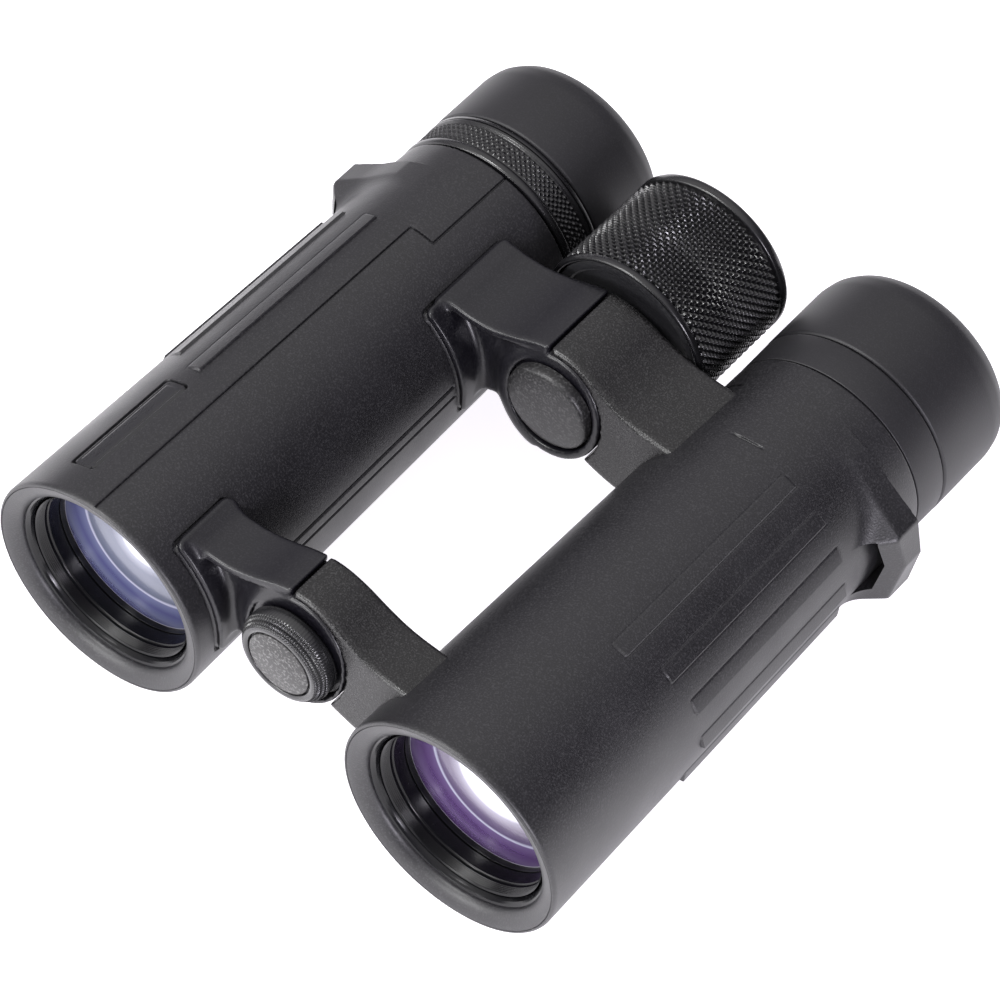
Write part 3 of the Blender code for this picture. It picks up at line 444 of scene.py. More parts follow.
# grip bars: (angle from the top, where the bar starts); they all end at BAR_END
BARS = {
    "left": [(20.5, 32.5), (43.5, 36.0), (65.0, 37.7), (88.0, 38.0), (107.0, 34.8)],
    "right": [(-22.5, 32.8), (-45.5, 36.0), (-67.5, 37.7), (-89.5, 38.0), (-109.0, 34.8)],
}
BAR_HALF = 4.3
BAR_END = 77.0
BAR_HIGH = {"left": (0.28, 0.34, 0.50, 0.68, 0.68), "right": (0.42, 0.42, 0.42, 0.42, 0.42)}
INNER_GROOVES = (77.0, 83.5)               # angles of the two grooves low on the inner side
GROOVE_FROM, GROOVE_TO = 18.0, 66.8
SEAM_TURN, SEAM_STEP = 14.0, 78.3          # the right barrel's top seam jumps by this angle here
BADGE_BOX = (-30.5, -15.5, 6.2, 29.4)      # inlay: angle from, angle to, y from, y to
PAD = {"front": (4.6, 17.5), "rear": (67.3, 88.1)}     # where the bridges' saddles lie on the right armour
PAD_FROM = 35.5


def skin(y):
    """Radius of the armour's plain surface, which tapers towards the back."""
    return RIM_R + (TAIL_R - RIM_R) * np.asarray(y, float) / ARMOUR_END


def lug_radius(theta, y):
    """Distance from the barrel axis to the strap lug's facets; theta positive outwards."""
    st, ct = np.maximum(np.sin(theta), 1e-3), np.abs(np.cos(theta))
    low = np.cos(theta) < 0
    flat = np.where(low, 20.1, 18.87)                       # the facet towards the barrel's top or bottom
    side = np.where(st > 0.57, flat / (0.570 * st + 0.821 * ct), flat - 8.0 * (0.57 - st)) + 0 * y
    ramp = (y - np.where(low, 55.4, 57.5)) / (1.41 * ct + 0.822 * st)
    front = (y - 62.5) / (1.02 * st)
    outer = 23.73 / (0.983 * st + 0.1855 * ct)
    back = 18.0 + 12.0 * (LUG_BACK - y)
    lug = side
    for facet in (outer, front, ramp, back):
        lug = smin(lug, facet, 0.3)
    return lug


def right_marks(arc, base, y):
    """Cuts on the right armour only: the inlay's bed, the stepped seam on top and the lines round the pads."""
    a0, a1, y0, y1 = BADGE_BOX
    cut = 0.9 * smooth01(-round_rect(arc, y, np.radians(a0) * base, np.radians(a1) * base, y0, y1, 0.9) / 0.22)
    step = math.radians(SEAM_TURN)
    seam = np.minimum(seg_dist(arc, y, (0.0, -1.0), (0.0, SEAM_STEP)),
                      seg_dist(arc, y, (0.0, SEAM_STEP), (float(step * skin(78)), SEAM_STEP)))
    seam = np.minimum(seam, np.where(y > SEAM_STEP, np.abs(arc - step * base), 9.0))
    cut = cut + groove(seam, 0.38, 0.10, 0.16)
    for y0, y1 in PAD.values():
        d = round_rect(arc, y, np.radians(PAD_FROM) * base, np.radians(99.0) * base, y0, y1, 1.4)
        cut = cut + groove(np.abs(d - 0.05), 0.5, 0.22, 0.16)
    return cut


def left_marks(arc, y):
    """The two short index lines on the left armour."""
    k = np.radians(1.0) * skin(78)
    lines = np.minimum(seg_dist(arc, y, (-16 * k, 78.5), (-2 * k, 78.5)),
                       seg_dist(arc, y, (-53 * k, 90.2), (-40 * k, 90.2)))
    return groove(lines, 0.46, 0.12, 0.18)


def armour_surface(label, theta_deg, y):
    """Radius of the armour at an angle from the top (positive towards +X) and a place along the barrel."""
    s = SIDES[label]
    base = skin(y)
    theta = np.radians(theta_deg)
    arc = base * theta
    r = base + 0 * theta
    for (centre, start), high in zip(BARS[label], BAR_HIGH[label]):
        half = np.radians(BAR_HALF) * base
        u = arc - np.radians(centre) * base
        d = round_rect(u, y, -half, half, start, BAR_END, 0.35)
        wedge = 0.55 + 0.45 * np.clip(u / half, -1, 1)      # each bar rises towards the outer side
        r = r + high * wedge * smooth01(-d / 0.2) - groove(np.abs(d - 0.1), 0.05, 0.03, 0.14)
    ends = smooth01((y - GROOVE_FROM) / 0.6) * smooth01((GROOVE_TO - y) / 0.6)
    for at in INNER_GROOVES:
        r = r - groove(np.abs(arc + s * np.radians(at) * base), 0.42, 0.10, 0.20) * ends
    r = r - (right_marks(arc, base, y) if label == "right" else left_marks(arc, y))
    return smax(r, lug_radius(theta * s, y), 2.0)


def armour_angles(label):
    """Grid angles, closer at the bars' edges, the grooves, the pads and the lug."""
    s = SIDES[label]
    spots = [(centre + e, 1.05, 0.35) for centre, _start in BARS[label] for e in (-BAR_HALF, BAR_HALF)]
    spots += [(s * 90.0, 66.0, 1.0)]
    spots += [(-s * at, 1.0, 0.33) for at in INNER_GROOVES]
    if label == "right":
        spots += [(0.0, 0.8, 0.2), (SEAM_TURN, 0.8, 0.2), (PAD_FROM, 1.6, 0.4), (99.0, 1.6, 0.4), (67.0, 36.0, 1.4)]
        spots += [(BADGE_BOX[0] + 0.3, 0.8, 0.27), (BADGE_BOX[1] - 0.3, 0.8, 0.27)]
    return marks(-180.0, 180.0, 2.4, spots)[:-1]


def armour_rows(label):
    """Grid lines along the barrel, closer where bars, marks, pads and the lug begin and end."""
    spots = [(35.4, 3.4, 0.2), (76.9, 0.9, 0.18), (85.5, 7.0, 0.36), (91.7, 0.8, 0.12), (78.4, 0.7, 0.14),
             (2.0, 1.6, 0.3), (90.2, 0.6, 0.15), (18.3, 0.6, 0.2), (66.5, 0.6, 0.2)]
    if label == "right":
        spots += [(6.4, 0.7, 0.18), (29.2, 0.7, 0.18), (4.6, 1.4, 0.28), (17.5, 1.4, 0.28), (67.3, 1.4, 0.28),
                  (88.0, 1.2, 0.28)]
    return marks(0.7, SKIN_END, 1.5, spots)


def make_armour(label):
    s = SIDES[label]
    theta, ys = armour_angles(label), armour_rows(label)
    th, yy = np.meshgrid(theta, ys, indexing="ij")
    outer = armour_surface(label, th, yy)
    # the rest of the section: back edge, inner wall, lip and the dished front rim
    rim = [(21.0, 0.35), (20.86, 0.12), (20.68, 0.02), (20.56, 0.02), (20.46, 0.16), (20.34, 0.04), (19.9, 0.10),
           (19.2, 0.30), (18.6, 0.58), (18.1, 0.90), (17.75, 1.22), (17.48, 1.58), (17.36, 1.9), (17.34, 2.2)]
    back = [(TAIL_R - 0.02, ARMOUR_END - 0.08), (TAIL_R - 0.12, ARMOUR_END), (17.2, ARMOUR_END)]
    inside = [(16.95, ARMOUR_END - 0.3), (16.95, 62.0), (17.95, 61.0), (17.95, 2.32)]
    loop_r, loop_y = np.array(back + inside + rim[::-1]).T
    # the back edge follows whatever the lug still adds at the last row
    lift = (outer[:, -1:] - skin(SKIN_END)) * ((loop_r > 18.5) & (np.arange(len(loop_r)) < len(back)))
    radius = np.concatenate([outer, loop_r + lift], 1)
    along = np.concatenate([yy, np.broadcast_to(loop_y, (len(theta), len(loop_y)))], 1)
    a = np.radians(theta)[:, None]
    verts = np.stack([s * HALF + radius * np.sin(a), along, radius * np.cos(a)], -1).reshape(-1, 3)
    faces = grid_faces(len(theta), radius.shape[1], True, True)
    obj = make_mesh(label + "_armour_skin", verts, faces, RUBBER, BODY[label], [label + "_armour"],
                    sharp=50.0)
    cut_slot(obj, s)


def cut_slot(obj, s):
    """Strap slot through the lug, between the barrel's round wall and a shallow outer point."""
    low, mid, high = -5.2, 0.7, 6.6
    ring = [(20.5, high), (21.7, mid), (20.6, low)]
    ring += [(math.sqrt(19.42 ** 2 - z * z), z) for z in (low, -3.8, -2.4, -1.0, mid, 2.2, 3.8, 5.3, high)]
    n = len(ring)
    verts = [(s * (HALF + x), y, z) for y in (79.4, 94.0) for x, z in ring]
    faces = [list(range(n)), list(range(2 * n - 1, n - 1, -1))]
    faces += [[i, i + n, (i + 1) % n + n, (i + 1) % n] for i in range(n)]
    tool = add_object("slot_tool", bpy.data.meshes.new("slot_tool"))
    tool.data.from_pydata(to_row(verts).tolist(), [], faces)
    outward(tool.data)
    mod = obj.modifiers.new("slot", "BOOLEAN")
    mod.operation = "DIFFERENCE"
    mod.solver = "EXACT"
    mod.object = tool
    graph = bpy.context.evaluated_depsgraph_get()
    me = bpy.data.meshes.new_from_object(obj.evaluated_get(graph))
    obj.modifiers.clear()
    obj.data = me
    bpy.data.objects.remove(tool)
    me.shade_smooth()
    me.set_sharp_from_angle(angle=math.radians(50))


def make_badge():
    """Blank inlay: a thin plate with a fine border line, bent to the armour."""
    a0, a1, y0, y1 = BADGE_BOX
    gap, n, m, base = 0.28, 26, 60, 20.6
    u = np.linspace(math.radians(a0) * base + gap, math.radians(a1) * base - gap, n)
    v = np.linspace(y0 + gap, y1 - gap, m)
    uu, vv = np.meshgrid(u, v, indexing="ij")
    d = -round_rect(uu, vv, u[0], u[-1], v[0], v[-1], 0.8)
    top = np.where(d < -0.02, skin(vv) - 0.8, skin(vv) - 0.28 + 0.16 * smooth01(d / 0.5))
    inset = 0.75
    border = round_rect(uu, vv, u[0] + inset, u[-1] - inset, v[0] + inset, v[-1] - inset, 0.5)
    top = top - groove(np.abs(border), 0.10, 0.0, 0.16)

    def place(r):
        return np.stack([-HALF + r * np.sin(uu / base), vv, r * np.cos(uu / base)], -1).reshape(-1, 3)

    verts = np.concatenate([place(top), place(skin(vv) - 0.85)])
    k = n * m
    upper = grid_faces(n, m, False, False)
    faces = upper + [[a + k for a in reversed(f)] for f in upper]
    ring = [i * m for i in range(n)] + [(n - 1) * m + j for j in range(1, m)]
    ring += [i * m + m - 1 for i in range(n - 2, -1, -1)] + list(range(m - 2, 0, -1))
    faces += [[a, b, b + k, a + k] for a, b in zip(ring, ring[1:] + ring[:1])]
    make_mesh("right_badge_plate", verts, faces, BADGE, BODY["right"], ["right_badge_inlay"])


# ---------------------------------------------------------------- knurls
def ridge(t, flat=0.22):
    """Row of ridges, one per unit of t; flat is the share of each that is level on top."""
    f = np.abs(t - np.floor(t) - 0.5) * 2
    return 1 - np.clip((f - flat) / (1 - flat), 0, 1)


def diamond(a, y, count, pitch, y0, y1, high, edge=0.35):
    """Diamond knurl: pyramids high mm tall where two slanted rows of ridges cross, fading at y0 and y1."""
    u = a / (2 * math.pi) * count
    v = (y - y0) / pitch
    h = np.minimum(ridge(u + v), ridge(u - v))
    window = smooth01((y - y0) / edge) * smooth01((y1 - y) / edge)
    return high * h * window


# ---------------------------------------------------------------- solid halves by distance field
def surface_nets(field, origin, step):
    """Quad mesh of the zero level of a distance field sampled on a regular grid."""
    inside = field < 0
    nx, ny, nz = field.shape
    cells = np.zeros((nx - 1, ny - 1, nz - 1), np.int8)
    corners = [(dx, dy, dz) for dz in (0, 1) for dy in (0, 1) for dx in (0, 1)]
    for dx, dy, dz in corners:
        cells += inside[dx:nx - 1 + dx, dy:ny - 1 + dy, dz:nz - 1 + dz]
    active = (cells > 0) & (cells < 8)
    index = -np.ones(active.shape, np.int64)
    ids = np.argwhere(active)
    index[active] = np.arange(len(ids))
    # one point per crossed cell: the mean of where the level cuts the cell's edges
    total, count = np.zeros((len(ids), 3)), np.zeros(len(ids))
    i, j, k = ids.T
    value = [field[i + c[0], j + c[1], k + c[2]] for c in corners]
    pairs = [(0, 1), (2, 3), (4, 5), (6, 7), (0, 2), (1, 3), (4, 6), (5, 7), (0, 4), (1, 5), (2, 6), (3, 7)]
    for a, b in pairs:
        va, vb = value[a], value[b]
        cross = (va < 0) != (vb < 0)
        t = np.where(cross, va / np.where(va == vb, 1, va - vb), 0)
        pa, pb = np.array(corners[a], float), np.array(corners[b], float)
        total += np.where(cross[:, None], pa + t[:, None] * (pb - pa), 0)
        count += cross
    verts = origin + (ids + total / count[:, None]) * step
    # one quad round every crossed grid edge
    faces = []
    for axis in range(3):
        lo, hi = [slice(None)] * 3, [slice(None)] * 3
        lo[axis], hi[axis] = slice(0, -1), slice(1, None)
        start_in = inside[tuple(lo)]
        e = np.argwhere(start_in != inside[tuple(hi)])
        o1, o2 = [(1, 2), (2, 0), (0, 1)][axis]
        e = e[(e[:, o1] > 0) & (e[:, o2] > 0) & (e[:, o1] < field.shape[o1] - 1) & (e[:, o2] < field.shape[o2] - 1)]
        quad = []
        for d1, d2 in ((1, 1), (0, 1), (0, 0), (1, 0)):
            c = e.copy()
            c[:, o1] -= d1
            c[:, o2] -= d2
            quad.append(index[c[:, 0], c[:, 1], c[:, 2]])
        q = np.stack(quad, 1)
        flip = ~start_in[tuple(e.T)]
        q[flip] = q[flip][:, ::-1]
        faces.append(q)
    return verts, np.concatenate(faces)


def polygon_field(px, pz, outline):
    """Signed distance in the x-z plane to a closed outline, negative inside."""
    best, sign = np.full(px.shape, 1e9), np.ones(px.shape)
    for (ax, az), (bx, bz) in zip(outline, outline[1:] + outline[:1]):
        best = np.minimum(best, seg_dist(px, pz, (ax, az), (bx, bz)))
        crosses = (az > pz) != (bz > pz)
        cut = ax + (pz - az) * (bx - ax) / (bz - az if bz != az else 1e-9)
        sign = np.where(crosses & (px < cut), -sign, sign)
    return best * sign


def circle_pts(radius, start, end, count):
    """Arc round the hinge axis, in the x-z plane; angles in degrees from +X."""
    out = []
    for i in range(count + 1):
        a = math.radians(start + (end - start) * i / count)
        out.append((radius * math.cos(a), HINGE + radius * math.sin(a)))
    return out


KNUCKLE, CLEAR, BORE_R = 10.0, 10.3, 5.3    # radii round the hinge axis
HUMP_Z = 20.75                             # top of both halves where they meet
SPLIT_GAP = 0.15
SLOPE = 0.17                               # lean of the front faces
# face, split and back along y; tube_r is the barrel wall that a half stops at; recess is a cap's (radius, floor)
BRIDGES = {
    "front": {"face": 5.9, "back": 17.2, "split": 11.55, "tube_r": 17.9, "pad": PAD["front"], "recess": (9.3, 6.9)},
    "rear": {"face": 70.0, "back": 88.0, "split": 81.75, "tube_r": 16.9, "pad": PAD["rear"], "recess": (8.5, 71.3)},
}


def smooth_curve(points, rounds=3):
    """Rounds an open run of corners (Chaikin), ends kept."""
    p = np.array(points, float)
    for _ in range(rounds):
        q = 0.75 * p[:-1] + 0.25 * p[1:]
        r = 0.25 * p[:-1] + 0.75 * p[1:]
        p = np.concatenate([p[:1], np.stack([q, r], 1).reshape(-1, 2), p[-1:]])
    return [tuple(v) for v in p]


def left_shape():
    """Outline of the left bridge halves seen from the front: arm, hump and knuckle."""
    edge, low_end = -1.72, (7.6, 2.8)
    top = smooth_curve([(edge, HUMP_Z), (1.7, 20.85), (5.8, 19.7), (10.0, 17.6), (14.5, 15.9), (19.5, 15.3),
                        (26.0, 15.2)])
    low = smooth_curve([(20.0, 0.5), (14.0, 1.0), (10.4, 1.9), low_end])
    start = math.degrees(math.asin((low_end[1] - HINGE) / KNUCKLE))
    stop = math.degrees(math.acos(edge / KNUCKLE)) - 360.0
    return top + [(27.0, 10.0), (24.0, 3.0)] + low + circle_pts(KNUCKLE, start, stop, 60)


def right_shape():
    """Outline of the right bridge halves, whose lower lip wraps round the knuckle."""
    edge, low_end = -2.28, (-0.9, -0.65)
    top = smooth_curve([(edge, HUMP_Z), (-5.6, 19.9), (-10.0, 18.1), (-14.5, 16.9), (-19.0, 16.8), (-22.8, 17.6),
                        (-25.5, 15.0)])
    # the lip stops short of straight down, or it would meet the other half's arm when the barrels are folded
    low = smooth_curve([(-20.0, 0.7), (-15.0, 0.9), (-11.6, 2.0), (-9.6, 2.0), (-8.2, 0.6), (-6.2, -1.2),
                        (-3.9, -1.9), (-2.2, -1.4), low_end])
    start = math.degrees(math.atan2(low_end[1] - HINGE, low_end[0]))
    stop = math.degrees(math.acos(edge / KNUCKLE))
    return top + [(-24.5, 8.0), (-23.0, 2.0)] + low + circle_pts(KNUCKLE, start, stop, 60)[1:]


def pocket(shape, x, x3, z3, rad, skin_r):
    """How far the right half's front face is set back below its top edge, between knuckle and barrel."""
    top = np.array(sorted(p for p in shape if p[1] > 14.9 and p[0] < -2.2))
    under = np.interp(x, top[:, 0], top[:, 1])[:, None, :] - z3
    away = np.hypot(x3 + HALF, z3) - skin_r
    return (2.6 * smooth01((under - 1.2) / 1.2) * smooth01((rad - KNUCKLE + 0.6) / 5.0)
            * smooth01((away + 1.5) / 1.5))


def pad_field(x3, y, z3, br, pad, skin_r):
    """Saddle of the right half that lies on the armour."""
    th = np.degrees(np.arctan2(x3 + HALF, z3))
    plan = round_rect(np.radians(th) * skin_r, y, math.radians(PAD_FROM) * skin_r, math.radians(97.0) * skin_r,
                      pad[0], pad[1], 1.4)
    high = 1.55 - 0.5 * smooth01((th - 60.0) / 35.0)
    return smax(plan, np.maximum(br - (skin(y) + high), (skin(y) + 0.12) - br), 0.5)


def bridge_half(label, which, step=0.32):
    """One half of a bridge, cut from a distance field: body, pad, room for the other half, recess and bore."""
    info = BRIDGES[which]
    right = label == "right"
    face, back, split = info["face"], info["back"], info["split"]
    gx = np.arange(*((-26.5, 11.5 + step) if right else (-11.5, 27.0 + step)), step)
    gy = np.arange(min(info["pad"][0], face - 3.0) - 1.5, back + 1.5 + step, step)
    gz = np.arange(-7.0, 23.0 + step, step)
    X, Z = np.meshgrid(gx, gz, indexing="ij")
    X3, Y, Z3 = X[:, None, :], gy[None, :, None], Z[:, None, :]
    rad = np.hypot(X3, Z3 - HINGE)                          # from the hinge axis
    br = np.hypot(X3 - SIDES[label] * HALF, Z3)             # from the barrel's axis
    skin_r = skin((face + back) / 2)
    shape = right_shape() if right else left_shape()
    dent, crisp = (pocket(shape, X, X3, Z3, rad, skin_r), 0.5) if right else (0.0, 0.9)
    lean = (face + SLOPE * (Z3 - HINGE) + dent - Y) / math.hypot(1, SLOPE)
    body = smax(smax(polygon_field(X, Z, shape)[:, None, :] + 0 * Y, lean, crisp), Y - back, 0.9)
    body = np.maximum(body, info["tube_r"] - br)
    if right:
        body = smin(body, pad_field(X3, Y, Z3, br, info["pad"], skin_r), 1.6)
    beyond = (split - SPLIT_GAP) - Y if right else Y - (split + SPLIT_GAP)
    body = np.maximum(body, -np.maximum(rad - CLEAR, beyond))          # the other half's knuckle turns here
    if right:
        cup_r, floor = info["recess"]
        body = smax(body, -np.maximum(rad - cup_r, Y - floor), 0.25)
    bore = rad - BORE_R
    if which == "rear":
        bore = np.minimum(bore, np.maximum(rad - 6.7, Y - 83.2))       # room for the focusing slider
    body = np.maximum(body, -bore)
    verts, faces = surface_nets(body, np.array([gx[0], gy[0], gz[0]]), step)
    name = f"{label}_{which}_bridge"
    return make_mesh(name + "_cast", verts, faces.tolist(), SATIN_CAST if right else CAST, BODY[label], [name],
                     sharp=62.0)


# ---------------------------------------------------------------- barrels' turned pieces
GLASS_R = 15.2                             # objective lens


def dome(radius, ball, top, points):
    """Half outline of a lens face that bulges from its edge to top on the axis."""
    return [(float(r), top + ball - math.sqrt(ball * ball - r * r)) for r in np.linspace(0, radius, points)]


def make_objective(label):
    """Metal tube with its flared mouth, the threaded ring in it, the front lens and its cell."""
    centre, body = (SIDES[label] * HALF, 0), BODY[label]
    wall = [(16.36, 3.7), (16.46, 3.2), (16.66, 2.72), (16.95, 2.34), (17.3, 2.12), (17.6, 2.4), (17.6, 61.7),
            (16.6, 61.7), (16.6, 97.0), (15.2, 97.0), (15.2, 60.4), (16.36, 60.4)]
    turn(label + "_tube_wall", wall, centre, 160, GLOSS_TUBE, body, [label + "_barrel_tube"],
         radius=0.06)
    thread, y, pitch = [], 3.25, 0.34
    while y < 5.2:
        thread += [(16.02, y), (15.80, y + 0.16), (16.02, y + 0.32)]
        y += pitch
    ring = [(16.1, 3.2), (16.15, 3.3), (16.15, 8.0), (15.3, 8.0), (15.25, 7.95), (15.62, 5.95), (15.88, 5.85),
            (15.95, 5.6)] + thread[::-1]
    turn(label + "_front_ring", ring, centre, 256, RING, body, [label + "_objective_retaining_ring"],
         radius=None, sharp=55.0)
    sag, edge = 1.7, 9.3
    front = dome(GLASS_R, (GLASS_R ** 2 + sag ** 2) / (2 * sag), edge - sag, 22)
    back = [(GLASS_R, 11.9), (12.0, 12.3), (8.0, 12.6), (4.0, 12.75), (0.0, 12.8)]
    turn(label + "_front_lens", front + back, centre, 96, LENS_L if label == "left" else LENS_R, body,
         [label + "_objective_lens"], radius=None, closed=False, sharp=30.0)
    cell = [(15.26, 8.3), (16.1, 8.3), (16.1, 19.0), (14.1, 19.0), (14.1, 12.4), (15.26, 12.4)]
    turn(label + "_lens_cell", cell, centre, 160, GLOSS_TUBE, body, [label + "_objective_cell"],
         radius=0.04)


def make_eyepiece(label):
    """Ocular tube, the ring round the eye lens and the eye lens, which bulges backwards."""
    centre, body = (SIDES[label] * HALF, 0), BODY[label]
    wall = [(10.6, 84.5), (14.8, 84.5), (14.8, 121.3), (13.6, 121.3), (12.9, 120.6), (12.2, 120.4), (12.2, 86.0),
            (10.6, 86.0)]
    turn(label + "_ocular_wall", wall, centre, 96, PLASTIC, body, [label + "_ocular_tube"],
         radius=0.25)
    bezel = [(9.9, 117.5), (11.9, 116.9), (11.9, 119.5), (11.4, 119.7), (10.9, 119.5), (10.6, 118.9), (10.1, 118.6)]
    turn(label + "_eye_lens_bezel", bezel, centre, 96, RING, body, [label + "_eye_lens_ring"],
         radius=0.1)
    eye_r, ball, top = 11.9, 46.0, 118.1
    rear = [(r, 2 * top - y) for r, y in dome(eye_r, ball, top, 16)]
    turn(label + "_eye_glass", rear + [(eye_r, 111.7), (6.0, 112.0), (0.0, 112.3)], centre, 96, EYE_GLASS, body,
         [label + "_eye_lens"], radius=None, closed=False, sharp=30.0)


def make_eyecup(label):
    """Threaded sleeve and the soft cup that sits on it."""
    centre = (SIDES[label] * HALF, 0)
    start = (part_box(label + "_eyecup")[0].y - FRONT) / MM
    thread, y, pitch = [], start + 1.4, 1.6
    while y < 118.0:
        thread += [(16.6, y), (16.6, y + 1.0), (16.35, y + 1.15), (16.35, y + 1.45)]
        y += pitch
    sleeve = [(15.1, start + 0.3), (16.6, start + 0.3)] + thread + [(16.6, LENGTH - 2.1), (15.1, LENGTH - 2.1)]
    turn(label + "_cup_sleeve", sleeve, centre, 96, PLASTIC, label + "_eyecup_sleeve", [label + "_eyecup_carrier"],
         radius=None)
    # outline of the cup, each corner with its rounding
    cup = [((16.9, start), 0.1), ((18.75, start), 0.3), ((19.15, start + 0.3), 0.5), ((19.15, 118.6), 6.0),
           ((18.75, 120.9), 3.0), ((17.6, 122.9), 3.0), ((16.5, LENGTH), 0.6), ((15.6, LENGTH), 0.4),
           ((15.1, 123.2), 0.3), ((15.1, 121.9), 0.1), ((16.9, 121.9), 0.2)]
    turn(label + "_cup_rubber", soften([p for p, _r in cup], [r for _p, r in cup], 6), centre, 160, CUP,
         label + "_eyecup", [label + "_eyecup"], radius=None)


def make_diopter():
    """Ring with a band of diamond knurl between two plain beads."""
    y0, y1 = 97.8, 105.6
    prof = [(15.1, y0), (18.5, y0), (18.85, y0 + 0.15), (19.1, y0 + 0.5), (19.12, 99.0), (19.0, 99.2),
            (18.75, 99.35)]
    prof += [(18.62, y) for y in np.linspace(99.55, 103.75, 30)]
    prof += [(18.75, 103.95), (19.0, 104.1), (19.1, 104.25), (19.1, 104.55), (18.86, 104.62), (18.86, 104.78),
             (19.1, 104.86), (19.1, 105.4), (18.9, y1), (15.1, y1)]

    def bump(a, y, r):
        return r + np.where((y > 99.5) & (y < 103.8) & (r > 18), diamond(a, y, 104, 1.15, 99.45, 103.85, 0.42), 0)

    turn("right_diopter_grip", prof, (-HALF, 0), 520, WHEEL, "diopter_ring", ["right_diopter_ring"],
         radius=None, bump=bump, sharp=60.0)


def make_collar():
    """Plain band behind the left armour, where the right barrel has its diopter ring."""
    prof = [(15.1, 97.55), (18.92, 97.55), (19.02, 97.65), (19.1, 104.1), (18.9, 104.4), (15.1, 104.4)]
    turn("left_collar_band", prof, (HALF, 0), 160, CUP, BODY["left"], ["left_collar_ring"],
         radius=[0.05, 0.05, 0.1, 0.2, 0.1, 0.05])


def make_wheel():
    """Focus wheel: knurled grip with a flange at each end, its drum and the end plate."""
    grip_from, grip_to, root = 90.9, 111.2, 15.12
    prof = [(14.9, 89.6), (15.2, 89.4), (15.6, 89.4), (15.82, 89.55), (15.88, 89.9), (15.86, 90.5), (15.7, 90.75),
            (15.2, 90.85)]
    prof += [(root, y) for y in np.linspace(90.95, 111.15, 124)]
    prof += [(15.1, 111.25), (15.1, 111.5), (15.7, 111.56), (15.88, 111.75), (15.88, 112.9), (15.7, 113.25),
             (15.3, 113.4), (14.95, 113.3)]

    def bump(a, y, r):
        live = (y > grip_from) & (y < grip_to) & (r < root + 0.03)
        return r + np.where(live, diamond(a, y, 60, 1.62, grip_from, grip_to, 0.78, 0.3), 0)

    axis = (0, HINGE)
    turn("focus_wheel_knurl", prof, axis, 600, WHEEL, "focus_wheel", ["focus_wheel_grip"],
         radius=None, bump=bump, sharp=60.0)
    core = [(2.9, 90.0), (5.6, 90.0), (6.0, 90.5), (12.6, 90.5), (13.0, 90.0), (14.6, 90.0), (14.6, 111.2),
            (13.2, 111.2), (13.2, 93.0), (5.2, 93.0), (5.2, 108.4), (2.9, 108.4)]
    turn("focus_wheel_drum", core, axis, 128, PLASTIC, "focus_wheel", ["focus_wheel_core"],
         radius=0.2)
    cap = [(0, 111.7), (14.6, 111.7), (14.6, 112.8), (14.2, 113.5), (13.5, 113.8), (11.4, 113.8), (11.0, 113.6),
           (10.6, 113.8), (0, 113.8)]
    turn("focus_wheel_end_plate", cap, axis, 128, SATIN_CAST, "focus_wheel", ["focus_wheel_end_cap"],
         radius=None, closed=False)


def make_front_cap():
    """Screw cap of the front hinge: knurled rim round a plain speckled disc, with its stem."""
    prof = [(0.0, 3.0), (6.25, 3.0), (6.3, 2.2), (6.45, 2.02), (7.0, 1.95), (7.35, 2.05)]
    prof += [(7.45 + 1.1 * t, 2.2 + 1.75 * t) for t in np.linspace(0, 1, 14)]
    prof += [(8.62, 4.1), (8.6, 5.9), (8.2, 6.5), (2.9, 6.6), (2.9, 13.5), (0.0, 13.5)]

    def bump(a, y, r):
        live = (r > 7.42) & (r < 8.6) & (y > 2.15) & (y < 4.0)
        return r + np.where(live, diamond(a, y, 96, 1.3, 2.1, 4.05, 0.34, 0.2) - 0.14, 0)

    turn("front_cap_knob", prof, (0, HINGE), 768, RING_SATIN, "front_screw_cap", ["front_screw_cap"],
         radius=None, closed=False, bump=bump, sharp=70.0)
    disc = [(0, 1.9), (5.6, 1.9), (5.95, 2.1), (6.0, 2.7), (0, 2.7)]
    turn("front_cap_face", disc, (0, HINGE), 96, DISC, "front_screw_cap", ["front_cap_disc"],
         radius=None, closed=False)


def make_rear_cap():
    """Low dome in the rear bridge's recess, and the flange of the bush behind that bridge."""
    prof = [(0, 68.55), (3.0, 68.58), (5.5, 68.70), (7.1, 68.86), (7.75, 69.02), (8.08, 69.32), (8.15, 69.8),
            (8.15, 71.0), (0, 71.0)]
    turn("rear_cap_disc", prof, (0, HINGE), 128, HUB, BODY["right"], ["rear_hinge_cap"],
         radius=None, closed=False)
    bush = [(2.9, 83.2), (5.0, 83.2), (5.0, 88.3), (7.2, 88.3), (7.6, 88.5), (7.6, 88.9), (7.3, 89.0), (2.9, 89.0)]
    turn("rear_bush_flange", bush, (0, HINGE), 96, RING, BODY["left"], ["rear_bush_back"],
         radius=None)


paint_cad_nodes()
for side in SIDES:
    make_armour(side)
    make_objective(side)
    make_eyepiece(side)
    make_eyecup(side)
    for where in BRIDGES:
        bridge_half(side, where)
make_badge()
make_diopter()
make_collar()
make_wheel()
make_front_cap()
make_rear_cap()


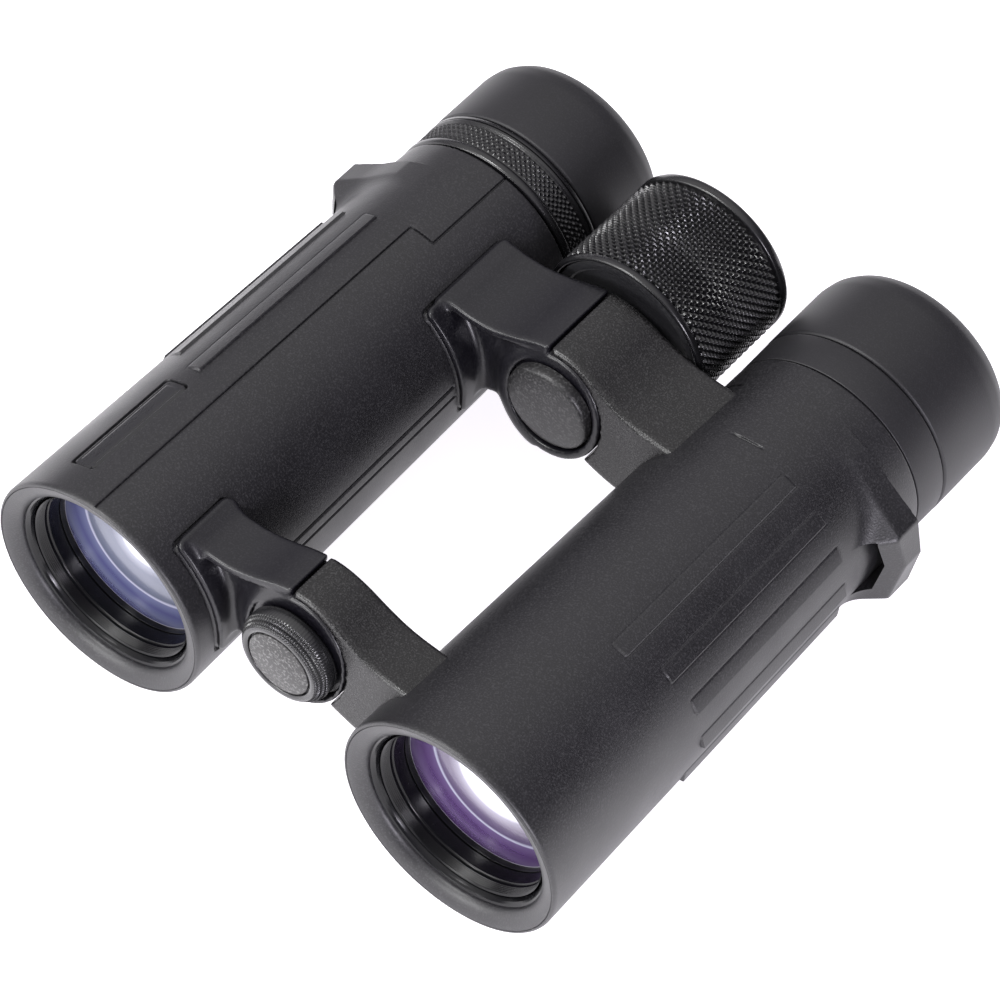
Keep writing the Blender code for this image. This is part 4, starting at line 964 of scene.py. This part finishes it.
# ---------------------------------------------------------------- floor, light and camera
def make_floor():
    """Pale floor just under the object; it glows a little, as a lit studio table does."""
    me = bpy.data.meshes.new("floor")
    w, drop = 3.0, -0.0004
    me.from_pydata([(-w, -w, drop), (w, -w, drop), (w, w, drop), (-w, w, drop)], [], [(0, 1, 2, 3)])
    floor = add_object("floor", me)
    mat = surface("pale_floor", (0.86, 0.86, 0.86), (0.90, 0.90, 0.90), 0.8, 0.05, 1.0, 0.0, 400.0, spec=0.2)
    glow = mat.node_tree.nodes["Principled BSDF"]
    glow.inputs["Emission Color"].default_value = (0.97, 0.94, 1.0, 1)
    glow.inputs["Emission Strength"].default_value = 0.95
    me.materials.append(mat)


def area_light(name, place, target, size, power, colour=(1, 1, 1)):
    data = bpy.data.lights.new(name, "AREA")
    data.shape = "RECTANGLE"
    data.size, data.size_y = size
    data.energy = power
    data.color = colour
    obj = add_object(name, data)
    obj.location = place
    obj.rotation_euler = (Vector(target) - Vector(place)).to_track_quat("-Z", "Y").to_euler()


def make_light():
    """White tent, brightest overhead, with two lights in front and a violet one at the right."""
    world = bpy.data.worlds.new("studio")
    bpy.context.scene.world = world
    world.use_nodes = True
    nt = world.node_tree
    co = nt.nodes.new("ShaderNodeTexCoord")
    facing = nt.nodes.new("ShaderNodeVectorMath")
    facing.operation = "DOT_PRODUCT"
    facing.inputs[1].default_value = Vector((-0.30, -0.10, 0.95)).normalized()
    nt.links.new(co.outputs["Generated"], facing.inputs[0])
    overhead = map_range(nt, facing.outputs["Value"], (0.12, 0.92), (0.07, 1.12), "SMOOTHSTEP")
    back = nt.nodes["Background"]
    nt.links.new(mix_colours(nt, overhead, (0.86, 0.80, 1.0), (1.0, 0.985, 1.0)), back.inputs[0])
    nt.links.new(overhead, back.inputs[1])
    area_light("front", (-0.42, -0.85, 0.26), (0, 0, 0.03), (0.6, 0.30), 6.5)
    area_light("front_high", (-0.37, -0.50, 0.79), (0, 0, 0.03), (0.24, 0.16), 4.5)
    area_light("right_front", (0.80, -0.46, 0.36), (0, 0, 0.02), (0.18, 0.18), 6.0, (0.93, 0.90, 1.0))


def make_camera():
    az, el, roll = math.radians(36.524), math.radians(51.906), math.radians(2.894)
    distance = 0.8771
    back = Vector((math.sin(az) * math.cos(el), -math.cos(az) * math.cos(el), math.sin(el)))
    level = Vector((math.cos(az), math.sin(az), 0))
    upright = back.cross(level)
    right = math.cos(roll) * level + math.sin(roll) * upright
    up = -math.sin(roll) * level + math.cos(roll) * upright
    data = bpy.data.cameras.new("camera")
    data.sensor_width = 36.0
    data.lens = 194.95
    data.clip_start = 0.01
    cam = add_object("camera", data)
    m = Matrix((right, up, back)).transposed().to_4x4()
    m.translation = Vector(to_row([(1.66, 55.66, 0.0)])[0]) + back * distance
    cam.matrix_world = m
    bpy.context.scene.camera = cam
    bpy.context.scene.view_settings.view_transform = "Standard"


make_floor()
make_light()
make_camera()
